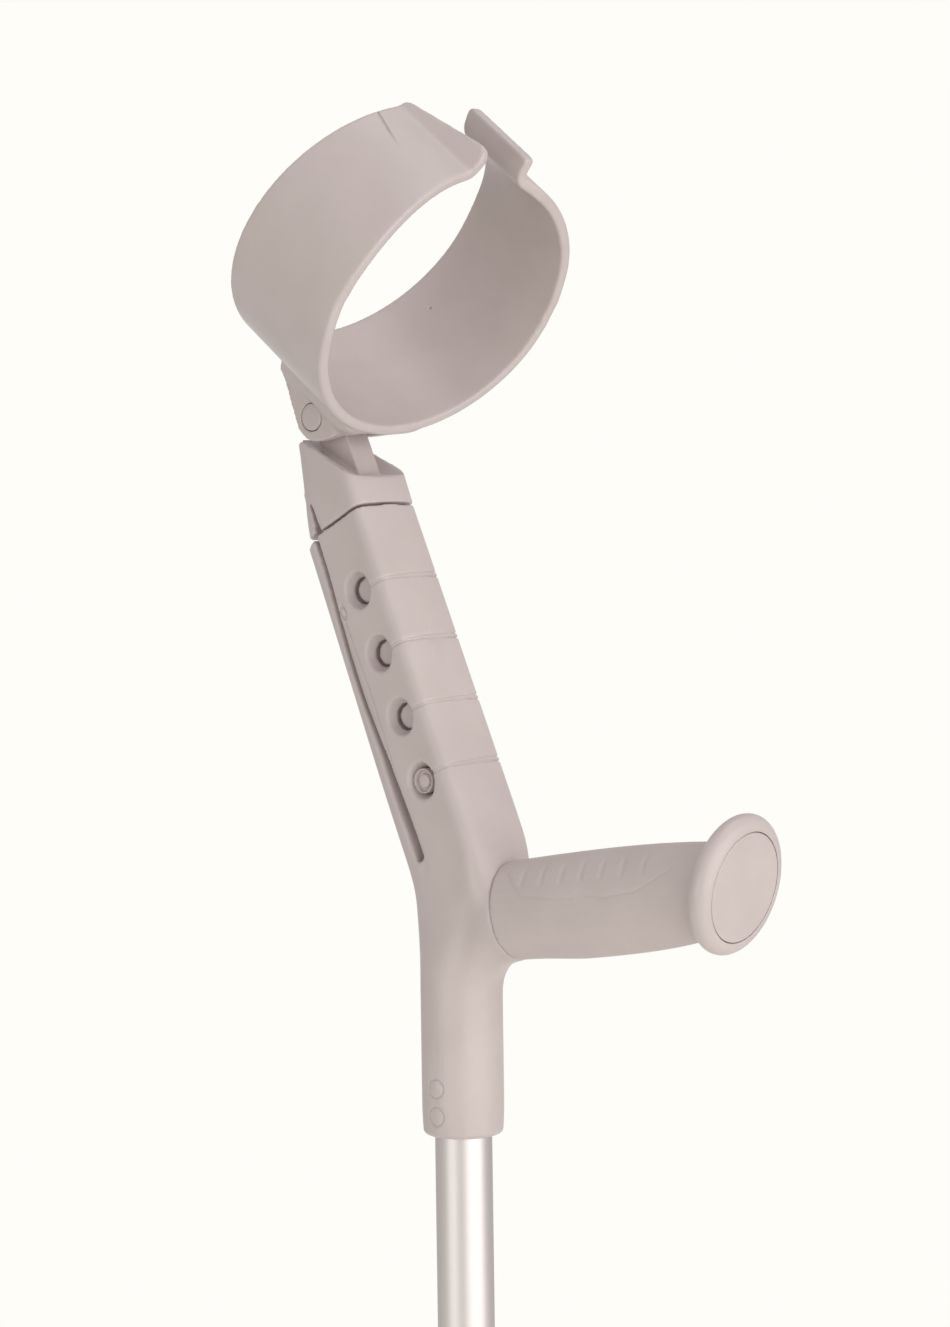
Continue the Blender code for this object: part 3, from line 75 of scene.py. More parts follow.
def dropSelection():
    if bpy.context.object and bpy.context.object.mode != "OBJECT":
        bpy.ops.object.mode_set(mode="OBJECT")
    bpy.ops.object.select_all(action="DESELECT")


def pickOnly(piece):
    dropSelection()
    piece.select_set(True)
    bpy.context.view_layer.objects.active = piece


def finishWith(piece, kind, **settings):
    pickOnly(piece)
    modifier = piece.modifiers.new(kind.lower(), kind)
    for key, value in settings.items():
        setattr(modifier, key, value)
    bpy.ops.object.modifier_apply(modifier=modifier.name)


def mergedCopy(node, name):
    piece = bpy.data.objects.new(name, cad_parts[node].data.copy())
    bpy.context.scene.collection.objects.link(piece)
    piece.data.name = name
    piece.data.materials.clear()
    pickOnly(piece)
    bpy.ops.object.mode_set(mode="EDIT")
    bpy.ops.mesh.select_all(action="SELECT")
    bpy.ops.mesh.remove_doubles(threshold=0.002 * mm)
    bpy.ops.mesh.customdata_custom_splitnormals_clear()
    bpy.ops.object.mode_set(mode="OBJECT")
    return piece


def softMoulding(node, name, shape):  # a copy of the solid with the soft edges of a moulding
    piece = mergedCopy(node, name)
    finishWith(piece, "REMESH", mode="VOXEL", voxel_size=shape["voxel"], use_smooth_shade=True)
    finishWith(piece, "SMOOTH", factor=0.5, iterations=shape["rounds"])
    return piece


def meshPlaces(piece):
    count = len(piece.data.vertices)
    places = np.empty(count * 3)
    facing = np.empty(count * 3)
    piece.data.vertices.foreach_get("co", places)
    piece.data.vertices.foreach_get("normal", facing)
    return places.reshape(-1, 3), facing.reshape(-1, 3)


def movePoints(piece, places):
    piece.data.vertices.foreach_set("co", places.ravel())
    piece.data.update()


def pressIn(piece, places, facing, depth):  # depth in millimetres, along each point's own normal
    movePoints(piece, places - facing * (depth * mm)[:, None])


def inFrame(places, tilted):  # the same points, seen from a tilted frame, in millimetres
    back = np.array(tilted.inverted())
    return (places @ back[:3, :3].T + back[:3, 3]) / mm


def countTriangles(piece):
    return sum(len(p.vertices) - 2 for p in piece.data.polygons)


def lighten(piece, most):  # flat and hidden stretches give up triangles first
    triangles = countTriangles(piece)
    if triangles > most:
        finishWith(piece, "DECIMATE", ratio=most / triangles)
        pickOnly(piece)
        bpy.ops.object.shade_smooth()


def refineWhere(piece, chosen, cuts):  # smaller faces where a fine mark goes
    count = len(piece.data.polygons)
    centres = np.empty(count * 3)
    piece.data.polygons.foreach_get("center", centres)
    pickOnly(piece)
    bpy.ops.object.mode_set(mode="EDIT")
    bpy.ops.mesh.select_mode(type="FACE")
    bpy.ops.mesh.select_all(action="DESELECT")
    bpy.ops.object.mode_set(mode="OBJECT")
    piece.data.polygons.foreach_set("select", chosen(centres.reshape(-1, 3)))
    bpy.ops.object.mode_set(mode="EDIT")
    bpy.ops.mesh.subdivide(number_cuts=cuts)
    bpy.ops.object.mode_set(mode="OBJECT")


def softenWhere(piece, weights, rounds):  # rounds an edge off further, as far as the weights say
    group = piece.vertex_groups.new(name="soften")
    tenths = np.round(weights * 10)
    for level in range(1, 11):
        group.add(np.flatnonzero(tenths == level).tolist(), level / 10, "REPLACE")
    finishWith(piece, "SMOOTH", factor=0.5, iterations=rounds, vertex_group=group.name)
    piece.vertex_groups.clear()


def ease(value, start, end):
    share = np.clip((value - start) / (end - start), 0, 1)
    return share * share * (3 - 2 * share)


def between(value, begin, end):  # 1 in the middle, eased in over the first span and out over the second
    return ease(value, *begin) * ease(value, *end)


def groove(distance, half, soft):  # 1 in the floor of a groove, 0 outside it
    return 1 - ease(np.abs(distance), half - soft / 2, half + soft / 2)


def byLine(points, start, end):  # share of the way along a straight line, and distance from it
    start = np.array(start)
    run = np.array(end) - start
    share = (points - start) @ run / (run @ run)
    off = points - start - np.clip(share, 0, 1)[:, None] * run
    return share, np.linalg.norm(off, axis=1)


def place(piece, body, nodes, material):
    piece.data.materials.clear()
    piece.data.materials.append(material)
    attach(piece, body)
    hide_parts(*nodes)
    print(piece.name, "rides on", body, "with", countTriangles(piece), "triangles")


# a turned piece: one circle, extruded and scaled ring by ring, then laid in its frame

turnedFinish = {
    "bevelSegments": 3,
    "bevelAngle": math.radians(35),
    "smoothAngle": math.radians(32),
}


def turnPiece(name, rings, lie, segments=96, bored=False, bevel=0.0, oval=1.0):
    dropSelection()
    radius, height = rings[0]
    bpy.ops.mesh.primitive_circle_add(vertices=segments, radius=radius * mm, location=(0, 0, height * mm))
    piece = bpy.context.object
    piece.name = piece.data.name = name
    bpy.ops.object.transform_apply(location=True, rotation=True, scale=True)
    bpy.ops.object.mode_set(mode="EDIT")
    bpy.ops.mesh.select_all(action="SELECT")
    if not bored:
        bpy.ops.mesh.edge_face_add()
        bpy.ops.mesh.select_all(action="DESELECT")
        bpy.ops.mesh.select_mode(type="EDGE")
        bpy.ops.mesh.select_non_manifold()
    for nextRadius, nextHeight in rings[1:]:
        rise = (nextHeight - height) * mm
        bpy.ops.mesh.extrude_edges_move(TRANSFORM_OT_translate={"value": (0, 0, rise)})
        share = nextRadius / radius
        bpy.ops.transform.resize(value=(share, share, 1), center_override=(0, 0, nextHeight * mm))
        radius, height = nextRadius, nextHeight
    if bored:
        bpy.ops.mesh.select_mode(type="EDGE")
        bpy.ops.mesh.select_all(action="DESELECT")
        bpy.ops.mesh.select_non_manifold()
        bpy.ops.mesh.bridge_edge_loops()
    else:
        bpy.ops.mesh.edge_face_add()
    bpy.ops.mesh.select_all(action="SELECT")
    bpy.ops.mesh.normals_make_consistent(inside=False)
    if oval != 1.0:
        bpy.ops.transform.resize(value=(1, oval, 1), center_override=(0, 0, 0))
    bpy.ops.object.mode_set(mode="OBJECT")
    if bevel:
        finishWith(piece, "BEVEL", width=bevel * mm, segments=turnedFinish["bevelSegments"],
                   limit_method="ANGLE", angle_limit=turnedFinish["bevelAngle"])
    piece.matrix_world = lie
    pickOnly(piece)
    bpy.ops.object.transform_apply(location=True, rotation=True, scale=True)
    bpy.ops.object.shade_smooth_by_angle(angle=turnedFinish["smoothAngle"])
    return piece


def arcRings(centreRadius, centreHeight, wide, tall, start, end, steps):
    rings = []
    for k in range(steps + 1):
        angle = math.radians(start + (end - start) * k / steps)
        rings.append((centreRadius + wide * math.cos(angle), centreHeight + tall * math.sin(angle)))
    return rings


def towardsNear(tilted, z=0.0):  # a turned piece's +Z then points to the near side
    return tilted @ Matrix.Translation(Vector((0, 0, z * mm))) @ Matrix.Rotation(math.pi / 2, 4, "X")


# materials

def linearColour(code):
    shares = [int(code[k:k + 2], 16) / 255 for k in (1, 3, 5)]
    linear = [s / 12.92 if s <= 0.04045 else ((s + 0.055) / 1.055) ** 2.4 for s in shares]
    return (*linear, 1.0)


def addNode(tree, kind, settings=None, links=None):
    made = tree.nodes.new("ShaderNode" + kind)
    for key, value in (settings or {}).items():
        if isinstance(key, int) or key in made.inputs:
            made.inputs[key].default_value = value
        else:
            setattr(made, key, value)
    for key, source in (links or {}).items():
        tree.links.new(source, made.inputs[key])
    return made


def mathNode(tree, operation, first, second):
    return addNode(tree, "Math", {"operation": operation}, {0: first, 1: second}).outputs["Value"]


def newMaterial(name, **sockets):
    material = bpy.data.materials.new(name)
    material.use_nodes = True
    tree = material.node_tree
    shader = tree.nodes["Principled BSDF"]
    for key, value in sockets.items():
        shader.inputs[key.replace("_", " ")].default_value = value
    return material, tree, shader


def perSize(sizeInMm):  # a noise texture's scale for a pattern of that size
    return 1 / (sizeInMm * mm)


def noiseOf(tree, where, sizeInMm, detail):
    made = addNode(tree, "TexNoise", {"Scale": perSize(sizeInMm), "Detail": detail}, {"Vector": where})
    return made.outputs["Fac"]


def shadeBy(tree, shader, source, settings):  # two close shades, mixed by a noise
    ramp = addNode(tree, "ValToRGB", {}, {"Fac": source})
    for stop, position, code in zip(ramp.color_ramp.elements, settings["shadeStops"], settings["shades"]):
        stop.position = position
        stop.color = linearColour(code)
    tree.links.new(ramp.outputs["Color"], shader.inputs["Base Color"])


def roughenBy(tree, shader, source, settings):
    low, high = settings["roughness"]
    gloss = addNode(tree, "MapRange", {"To Min": low, "To Max": high}, {"Value": source})
    tree.links.new(gloss.outputs["Result"], shader.inputs["Roughness"])


def bumpBy(tree, shader, source, settings):
    strength, depth = settings["bump"]
    bump = addNode(tree, "Bump", {"Strength": strength, "Distance": depth * mm}, {"Height": source})
    tree.links.new(bump.outputs["Normal"], shader.inputs["Normal"])


mouldedSettings = {
    "shades": ("#C2B5B2", "#C6B9B6"),
    "shadeStops": (0.35, 0.65),
    "cloudMm": 22.0,
    "cloudDetail": 3.0,
    "grainMm": 0.55,  # spark-eroded grain is about 0.1 mm; drawn coarser so that it shows
    "grainDetail": 2.0,
    "bump": (0.5, 0.012),  # strength, and depth in millimetres
    "roughness": (0.32, 0.38),
    "refraction": 1.49,
}


def mouldedPlastic(name, settings):  # polypropylene from an eroded mould: matt, with a broad dull gloss
    material, tree, shader = newMaterial(name, IOR=settings["refraction"])
    where = addNode(tree, "TexCoord").outputs["Object"]
    cloud = noiseOf(tree, where, settings["cloudMm"], settings["cloudDetail"])
    shadeBy(tree, shader, cloud, settings)
    roughenBy(tree, shader, cloud, settings)
    bumpBy(tree, shader, noiseOf(tree, where, settings["grainMm"], settings["grainDetail"]), settings)
    return material


drawnSettings = {
    "colour": "#DCD4D1",
    "lineMm": 0.35,  # draw lines of the tube are finer; drawn as coarse as they need to show
    "lineLengthMm": 60.0,
    "lineDetail": 2.0,
    "bump": (0.4, 0.004),
    "roughness": (0.4, 0.5),
}


def drawnAluminium(name, settings):  # drawn tube, clear anodised: satin, with fine lines along it
    material, tree, shader = newMaterial(name, Metallic=1.0, Base_Color=linearColour(settings["colour"]))
    where = addNode(tree, "TexCoord").outputs["Object"]
    across, along = perSize(settings["lineMm"]), perSize(settings["lineLengthMm"])
    stretched = addNode(tree, "Mapping", {"Scale": (across, across, along)}, {"Vector": where})
    lines = addNode(tree, "TexNoise", {"Scale": 1.0, "Detail": settings["lineDetail"]},
                    {"Vector": stretched.outputs["Vector"]}).outputs["Fac"]
    roughenBy(tree, shader, lines, settings)
    bumpBy(tree, shader, lines, settings)
    return material


metalSettings = {
    "spring": {"colour": "#BDBAB6", "roughness": (0.22, 0.34), "spotMm": 1.6, "spotDetail": 4.0},
    "brass": {"colour": "#C9A765", "roughness": (0.26, 0.38), "spotMm": 1.2, "spotDetail": 4.0},
}


def machinedMetal(name, settings):  # rolled spring steel and turned brass: bright, with faint cloudy tarnish
    material, tree, shader = newMaterial(name, Metallic=1.0, Base_Color=linearColour(settings["colour"]))
    where = addNode(tree, "TexCoord").outputs["Object"]
    roughenBy(tree, shader, noiseOf(tree, where, settings["spotMm"], settings["spotDetail"]), settings)
    return material


rubberSettings = dict(mouldedSettings, shades=("#4A4746", "#5E5A58"), shadeStops=(0.4, 0.7), cloudMm=9.0,
                      cloudDetail=5.0, grainMm=0.8, bump=(0.5, 0.03), roughness=(0.62, 0.8), refraction=1.52)
gripSettings = dict(mouldedSettings, shades=("#C1B4B1", "#C5B8B5"), grainMm=0.7, bump=(0.5, 0.02),
                    roughness=(0.5, 0.58))
greyMoulding = mouldedPlastic("moulded_polypropylene", mouldedSettings)
gripMoulding = mouldedPlastic("moulded_soft_grip", gripSettings)
tubeMetal = drawnAluminium("drawn_anodised_aluminium", drawnSettings)
springSteel = machinedMetal("rolled_spring_steel", metalSettings["spring"])
turnedBrass = machinedMetal("turned_brass", metalSettings["brass"])
tipRubber = mouldedPlastic("moulded_tip_rubber", rubberSettings)  # compression-moulded: dark, dull, dusty
print("materials made")


# underside of the handle where sleeve and body meet: higher than in the solid, in a rounder sweep

rootSweep = {
    "lift": 1.3,
    "run": ((17, 30), (66, 36)),  # along the handle
    "under": (-8, -15),  # below its axis
}


def rootLift(places):
    along, side, up = inFrame(places, handleFrame).T
    share = between(along, *rootSweep["run"]) * ease(up, *rootSweep["under"])
    return (share * rootSweep["lift"])[:, None] * np.array(handleFrame.to_3x3().col[2]) * mm


# the strip behind the arm's back groove, which runs on behind the shroud

backStrip = {"front": -12.0, "deep": 14.0}


def intoStrip(forward):  # how far a point lies back in the strip
    return np.clip(backStrip["front"] - forward, 0, backStrip["deep"])


# handle body: arm, handle root and tube socket in one moulding
# spans are along the arm from the lowest hole, forward of the holes, or sideways from the middle

bodyShape = {
    "voxel": 0.72 * mm,
    "rounds": 2,
    "triangles": 195000,
    "skin": (11.5, 14.6),  # the arm's outside lies beyond these, sideways and forward
    "nearSide": -11.0,  # its near face lies beyond this, sideways
    "nearFacing": -0.5,
    "fineReach": 1.2,  # faces are cut smaller this far around a fine line
    "fineCuts": 2,
    "corner": {  # near front corner, rounder towards its foot
        "at": (14.2, -15.2),  # forward and sideways
        "reach": (7.5, 2.5),
        "share": ((-30, 90), (1.0, 0.45)),
        "run": ((-58, -46), (105, 99)),
        "rounds": 90,
    },
    "groove": {  # back groove: it bows back along the arm, and forward at its foot
        "run": (-26.0, 107.5),
        "middle": (-17.0, -13.3),  # forward, at the foot and the top of the solid's groove
        "bowBack": 1.8,
        "bowBackRun": ((12, 46), (96, 56)),
        "bowFoot": 1.7,
        "bowFootRun": (18, -27),
        "bowReach": (8.0, 2.0),
        "bowSide": 4,
        "wider": 0.6,
        "widerRun": (30, -5),
        "widerReach": (4.5, 1.5),
        "deeper": 2.5,
        "deeperRun": ((70, 20), (-29, -24)),
        "deeperReach": (2.0, 1.2),
        "floor": (-9.5, -7.6),
        "floorEnd": -5,
        "foot": (-38, -29),  # the socket below stays as it is
    },
    "strip": {  # strip behind the groove: it stops lower, more so towards its back
        "top": (103.0, 107.5),
        "drop": 0.16,
        "edge": -2.2,  # its front edge, off the groove's middle
        "edgeReach": (2.6, 0.9),
        "edgeRun": ((-27, -20), (106, 100)),
        "edgeSide": 8,
        "edgeRounds": 45,
    },
    "bands": {  # bands across the front
        "first": 0.2,  # lower edge of the lowest band
        "pitch": 25.7,
        "count": 4,
        "width": (0.9, 2.0),  # at the near and the far end
        "depth": (0.42, 0.28),  # of the lower and the upper edge
        "notch": 0.8,  # how much deeper at the far end
        "notchRun": (0.6, 1.0),
        "half": 0.35,
        "soft": 0.5,
        "armHalf": 15.5,
        "startNear": (5.6, 7.6),
        "startFar": (10, 13),
        "span": (-2.0, 82.8),
        "fineBelow": 1.4,
        "fineHeight": 5.2,
        "fineFrom": 4.6,
    },
    "pip": {  # small long ring beside the groove
        "at": (74.8, -11.8),  # along and forward
        "radius": 1.5,
        "longer": 1.7,
        "depth": 0.85,
        "half": 0.4,
        "soft": 0.5,
    },
    "ledge": {  # ledge in front of the groove: a line, and a slope behind it
        "along": (-4, 14, 40, 71),
        "forward": (-14.0, -12.2, -11.5, -12.0),
        "span": (-8, 72),
        "run": ((-8, 2), (71.5, 70.5)),
        "back": -16.5,
        "intoGroove": 3.5,
        "line": 0.6,
        "half": 0.4,
        "soft": 0.5,
        "slope": 0.8,
        "slopeWide": 4.0,
    },
    "marks": {  # two round mould marks on the near side of the socket
        "heights": (786.3, 775.6),
        "radius": 3.6,
        "side": -12,
        "depth": 0.45,
        "half": 0.3,
        "soft": 0.4,
    },
    "dish": {  # around each hole
        "rim": 5.4,
        "wide": 7.6,
        "inside": 0.8,
        "side": -9.5,
        "extra": 1.0,
    },
}


def roundCorner(piece, shape):
    forward, side, along = inFrame(meshPlaces(piece)[0], armFrame).T
    fromCorner = np.hypot(forward - shape["at"][0], side - shape["at"][1])
    onCorner = ease(fromCorner, *shape["reach"]) * np.interp(along, *shape["share"])
    softenWhere(piece, onCorner * between(along, *shape["run"]), shape["rounds"])


def bendGroove(piece, shape, strip):
    places = meshPlaces(piece)[0]
    forward, side, along = inFrame(places, armFrame).T
    off = forward - np.interp(along, shape["run"], shape["middle"])
    bow = shape["bowFoot"] * ease(along, *shape["bowFootRun"])
    bow -= shape["bowBack"] * between(along, *shape["bowBackRun"])
    shift = bow * ease(np.abs(off), *shape["bowReach"])
    shift += off * ease(np.abs(off), *shape["widerReach"]) * ease(along, *shape["widerRun"]) * shape["wider"]
    shift *= ease(along, *shape["foot"]) * (np.abs(side) > shape["bowSide"])
    drop = ease(along, *strip["top"]) * intoStrip(forward) * strip["drop"]
    places += shift[:, None] * armForward - drop[:, None] * armUpwards + rootLift(places)
    onFloor = ease(np.abs(off), *shape["deeperReach"]) * ease(side, *shape["floor"])
    onFloor *= between(along, *shape["deeperRun"]) * (side < shape["floorEnd"])
    places[:, 1] += onFloor * shape["deeper"] * mm
    movePoints(piece, places)
    onEdge = ease(np.abs(off - strip["edge"]), *strip["edgeReach"]) * between(along, *strip["edgeRun"])
    softenWhere(piece, onEdge * (np.abs(side) > strip["edgeSide"]), strip["edgeRounds"])


def outsideArm(shape, forward, side):
    aside, front = shape["skin"]
    return (np.abs(side) > aside) | (forward > front)


def fromPip(shape, along, forward):
    return np.hypot((along - shape["at"][0]) / shape["longer"], forward - shape["at"][1])


def fromMarks(shape, places):  # distance from the line of each round mark
    x, y, z = (places / mm).T
    for height in shape["heights"]:
        yield np.where(y < shape["side"], np.hypot(x, z - height) - shape["radius"], np.inf)


def fineFaces(shape, places):
    bands, pip, ledge, reach = (shape[key] for key in ("bands", "pip", "ledge", "fineReach"))
    forward, side, along = inFrame(places, armFrame).T
    low, high = bands["span"]
    step = (along - bands["first"] + bands["fineBelow"]) % bands["pitch"]
    chosen = (step < bands["fineHeight"]) & (along > low) & (along < high)
    chosen &= outsideArm(shape, forward, side) & (forward > bands["fineFrom"])
    low, high = ledge["span"]
    fromEdge = np.abs(forward - np.interp(along, ledge["along"], ledge["forward"]))
    onLedge = (fromEdge < reach) & (along > low) & (along < high)
    onPip = fromPip(pip, along, forward) < pip["radius"] + reach
    chosen |= (onLedge | onPip) & (side < shape["nearSide"])
    for off in fromMarks(shape["marks"], places):
        chosen |= np.abs(off) < reach
    return chosen


def bandDepth(shape, forward, side, along):
    start = np.where(side < 0, ease(forward, *shape["startNear"]), ease(forward, *shape["startFar"]))
    share = np.clip((side + shape["armHalf"]) / (2 * shape["armHalf"]), 0, 1)
    width = np.interp(share, (0, 1), shape["width"])
    depth = np.zeros(len(along))
    for k in range(shape["count"]):
        above = along - shape["first"] - k * shape["pitch"]
        for edge, deep in zip((0, width), shape["depth"]):
            depth += groove(above - edge, shape["half"], shape["soft"]) * deep
    return depth * (1 + ease(share, *shape["notchRun"]) * shape["notch"]) * start


def ledgeDepth(shape, forward, along, middle):
    edge = np.interp(along, shape["along"], shape["forward"])
    line = groove(forward - edge, shape["half"], shape["soft"]) * shape["line"]
    slope = np.clip((edge - forward) / shape["slopeWide"], 0, 1) * shape["slope"]
    inFront = (forward > middle - shape["intoGroove"]) & (forward > shape["back"])
    return (line + slope) * between(along, *shape["run"]) * inFront


def buildHandleBody(shape):
    pip, marks, dish = shape["pip"], shape["marks"], shape["dish"]
    piece = softMoulding("handle_body", "handleMoulding", shape)
    roundCorner(piece, shape["corner"])
    bendGroove(piece, shape["groove"], shape["strip"])
    refineWhere(piece, lambda places: fineFaces(shape, places), shape["fineCuts"])
    places, facing = meshPlaces(piece)
    forward, side, along = inFrame(places, armFrame).T
    middle = np.interp(along, shape["groove"]["run"], shape["groove"]["middle"])
    onNear = groove(fromPip(pip, along, forward) - pip["radius"], pip["half"], pip["soft"]) * pip["depth"]
    onNear += ledgeDepth(shape["ledge"], forward, along, middle)
    depth = onNear * (side < shape["nearSide"]) * (facing[:, 1] < shape["nearFacing"])
    depth += bandDepth(shape["bands"], forward, side, along) * outsideArm(shape, forward, side)
    for off in fromMarks(marks, places):
        depth += groove(off, marks["half"], marks["soft"]) * marks["depth"]
    for k in range(crutchLayout["holeCount"]):
        hole = np.hypot(forward, along - k * crutchLayout["holePitch"] / mm)
        inDish = (side < dish["side"]) & (hole > dish["rim"] - dish["inside"])
        places[:, 1] += ease(hole, dish["wide"], dish["rim"]) * inDish * dish["extra"] * mm
    pressIn(piece, places, facing, depth)
    lighten(piece, shape["triangles"])
    place(piece, "handle", ["handle_body"], greyMoulding)


buildHandleBody(bodyShape)


# grip sleeve with a raised palm panel and ribs over its top

sleeveShape = {
    "voxel": 0.6 * mm,
    "rounds": 3,
    "triangles": 195000,
    "seam": (30.5, 29.5),  # the edge at the body stands closer than the solid's
    "closer": 0.22,
    "fineReach": 1.2,
    "fineCuts": 1,
    "run": ((31, 36), (128, 122)),  # along the handle
    "panel": {
        "along": (36, 40, 44.7, 58.3, 70, 73.5, 75.5, 84, 99.6, 108.8, 119.9, 126),  # its lower edge
        "up": (15, 10, 6.2, 4.2, 3.4, 4.6, 4.2, 2.6, 3.3, 6.8, 11.7, 16),
        "span": (33, 126),
        "rise": 0.22,
        "riseOver": (0.2, 2.2),
        "line": 0.2,
        "half": 0.35,
        "soft": 0.5,
        "gapAt": 73,  # the line breaks off between its two halves
        "gapHalf": 2.2,
        "gapSoft": 1.5,
    },
    "ribs": {
        "first": 44.5,
        "pitch": 9.78,
        "count": 7,
        "half": 1.0,
        "soft": 1.6,
        "depth": 0.4,
        "up": ((8.0, 11.0), (17.0, 14.5)),
    },
}


def buildGrip(shape):
    panel, ribs = shape["panel"], shape["ribs"]
    piece = softMoulding("handle_grip", "gripSleeve", shape)

    def nearPanelLine(places):
        along, side, up = inFrame(places, handleFrame).T
        low, high = panel["span"]
        over = up - np.interp(along, panel["along"], panel["up"])
        return (np.abs(over) < shape["fineReach"]) & (along > low) & (along < high)

    refineWhere(piece, nearPanelLine, shape["fineCuts"])
    places, facing = meshPlaces(piece)
    along, side, up = inFrame(places, handleFrame).T
    outwards = facing[:, 1] * side + facing[:, 2] * up > 0
    onBody = between(along, *shape["run"]) * outwards
    over = up - np.interp(along, panel["along"], panel["up"])
    whole = 1 - groove(along - panel["gapAt"], panel["gapHalf"], panel["gapSoft"])
    depth = groove(over, panel["half"], panel["soft"]) * panel["line"] * onBody * whole
    depth -= ease(over, *panel["riseOver"]) * panel["rise"] * onBody
    onTop = between(up, *ribs["up"]) * onBody
    for k in range(ribs["count"]):
        centre = ribs["first"] + k * ribs["pitch"]
        depth += groove(along - centre, ribs["half"], ribs["soft"]) * ribs["depth"] * onTop
    towardsBody = -np.array(handleFrame.to_3x3().col[0]) * shape["closer"] * mm
    places += ease(along, *shape["seam"])[:, None] * towardsBody + rootLift(places)
    pressIn(piece, places, facing, depth)
    lighten(piece, shape["triangles"])
    place(piece, "handle", ["handle_grip"], gripMoulding)


buildGrip(sleeveShape)


# cuff slider: bar, shroud and hinge tongue

sliderShape = {
    "voxel": 0.58 * mm,
    "rounds": 2,
    "triangles": 195000,
    "relief": 0.5,  # the bar's near face lies back between the button and the shroud
    "reliefRun": ((6.5, 8.0), (98.0, 96.0)),
    "reliefSide": (-7.5, -9.2),
    "moon": 2.6,  # moon-shaped pockets behind the holes
    "moonReach": ((4.5, 4.9), (7.4, 6.8)),
    "moonBehind": (1.5, -0.5),
    "groove": {  # groove behind the shroud's near face, moved forward and made longer upwards
        "at": -13.1,
        "side": 4,
        "forward": 2.0,
        "forwardRun": ((106, 108), (125, 116)),
        "forwardReach": ((-3.2, -1.4), (6.5, 1.8)),
        "up": 4.0,
        "upRun": ((109, 116), (128, 119)),
        "upMiddle": 0.5,
        "upReach": (3.2, 1.5),
    },
    "stripFoot": (113.0, 108.0),  # the strip behind the groove stops higher, more so towards its back
    "stripRise": 0.1,
    "tip": {  # the shroud's two back corners, blunt and soft
        "top": 144.0,
        "most": 9.0,
        "kept": 0.25,  # share of the height above the top that stays
        "behind": (3, 0),
        "aside": (5.5, 9),
        "softAbove": (136.5, 141.0),
        "softBehind": (3.0, -1.0),
        "softAside": 6.5,
        "rounds": 70,
    },
}


def buildSlider(shape):
    backGroove, tip = shape["groove"], shape["tip"]
    piece = softMoulding("cuff_slider", "cuffSlider", shape)
    places = meshPlaces(piece)[0]
    forward, side, along = inFrame(places, armFrame).T
    pitch = crutchLayout["holePitch"] / mm
    hole = np.hypot(forward, (along + pitch / 2) % pitch - pitch / 2)
    moon = between(hole, *shape["moonReach"]) * ease(forward, *shape["moonBehind"]) * shape["moon"]
    onBar = ease(side, *shape["reliefSide"]) * between(along, *shape["reliefRun"])
    places[:, 1] += onBar * (shape["relief"] + moon) * mm

    off = forward - backGroove["at"]
    outer = np.abs(side) > backGroove["side"]
    ahead = between(off, *backGroove["forwardReach"]) * between(along, *backGroove["forwardRun"]) * outer
    places += (ahead * backGroove["forward"])[:, None] * armForward
    fromMiddle = np.abs(off - backGroove["upMiddle"])
    rise = ease(fromMiddle, *backGroove["upReach"]) * between(along, *backGroove["upRun"])
    rise *= outer * backGroove["up"]
    rise += ease(along, *shape["stripFoot"]) * intoStrip(forward) * shape["stripRise"]
    over = np.clip(along - tip["top"], 0, tip["most"]) * (1 - tip["kept"])
    rise -= over * ease(forward, *tip["behind"]) * ease(np.abs(side), *tip["aside"])
    places += rise[:, None] * armUpwards
    movePoints(piece, places)

    forward, side, along = inFrame(meshPlaces(piece)[0], armFrame).T
    onTip = ease(along, *tip["softAbove"]) * ease(forward, *tip["softBehind"])
    softenWhere(piece, onTip * (np.abs(side) > tip["softAside"]), tip["rounds"])
    lighten(piece, shape["triangles"])
    place(piece, "cuff_slide", ["cuff_slider"], greyMoulding)


buildSlider(sliderShape)


# cuff ring with its lips and hinge base
# places are from the hinge pin: along the cuff's axis, sideways and up

cuffShape = {
    "voxel": 0.7 * mm,
    "rounds": 2,
    "triangles": 195000,
    "fineCuts": 2,
    "fold": {  # the gusset's edge, rounded off on both sides
        "start": (0.0, -19.8, 9.8),
        "end": (20.0, -18.6, 5.5),
        "reach": (8.0, 3.0),
        "rounds": 120,
    },
    "crease": {  # short fold in the outside, by the near lip
        "start": (-33.0, -25.3, 119.8),
        "end": (-8.8, -30.9, 117.0),
        "half": 0.4,
        "soft": 0.6,
        "depth": 0.65,
        "fade": (1.0, 0.35),
        "fineReach": 1.6,
    },
    "pit": {  # pin-sized pit inside the far half
        "at": (-21.4, 47.6, 38.7),
        "radius": 0.55,
        "soft": 0.4,
        "depth": 0.7,
        "fineReach": 1.8,
    },
    "cheek": {  # the near cheek, made to reach further down and forward
        "out": 1.5,
        "about": -31.0,
        "turn": (60.0, 10.0),
        "radii": ((5.8, 8.5), (17, 11)),
        "side": (-8, -9),
    },
    "gusset": {  # the gussets' back corners, drawn in
        "drawn": 3.6,
        "back": (-12.0, -23.0),
        "aside": ((13, 18), (26, 23)),
        "under": (14.2, 11.8),
    },
    "rim": {  # front rim, evened at half height: by, and as far as, on the near and the far side
        "level": 71.0,
        "fill": {-1: (0.5, 9.0), 1: (0.85, 12.0)},
        "front": (6, 20),
        "aside": 20,
    },
}


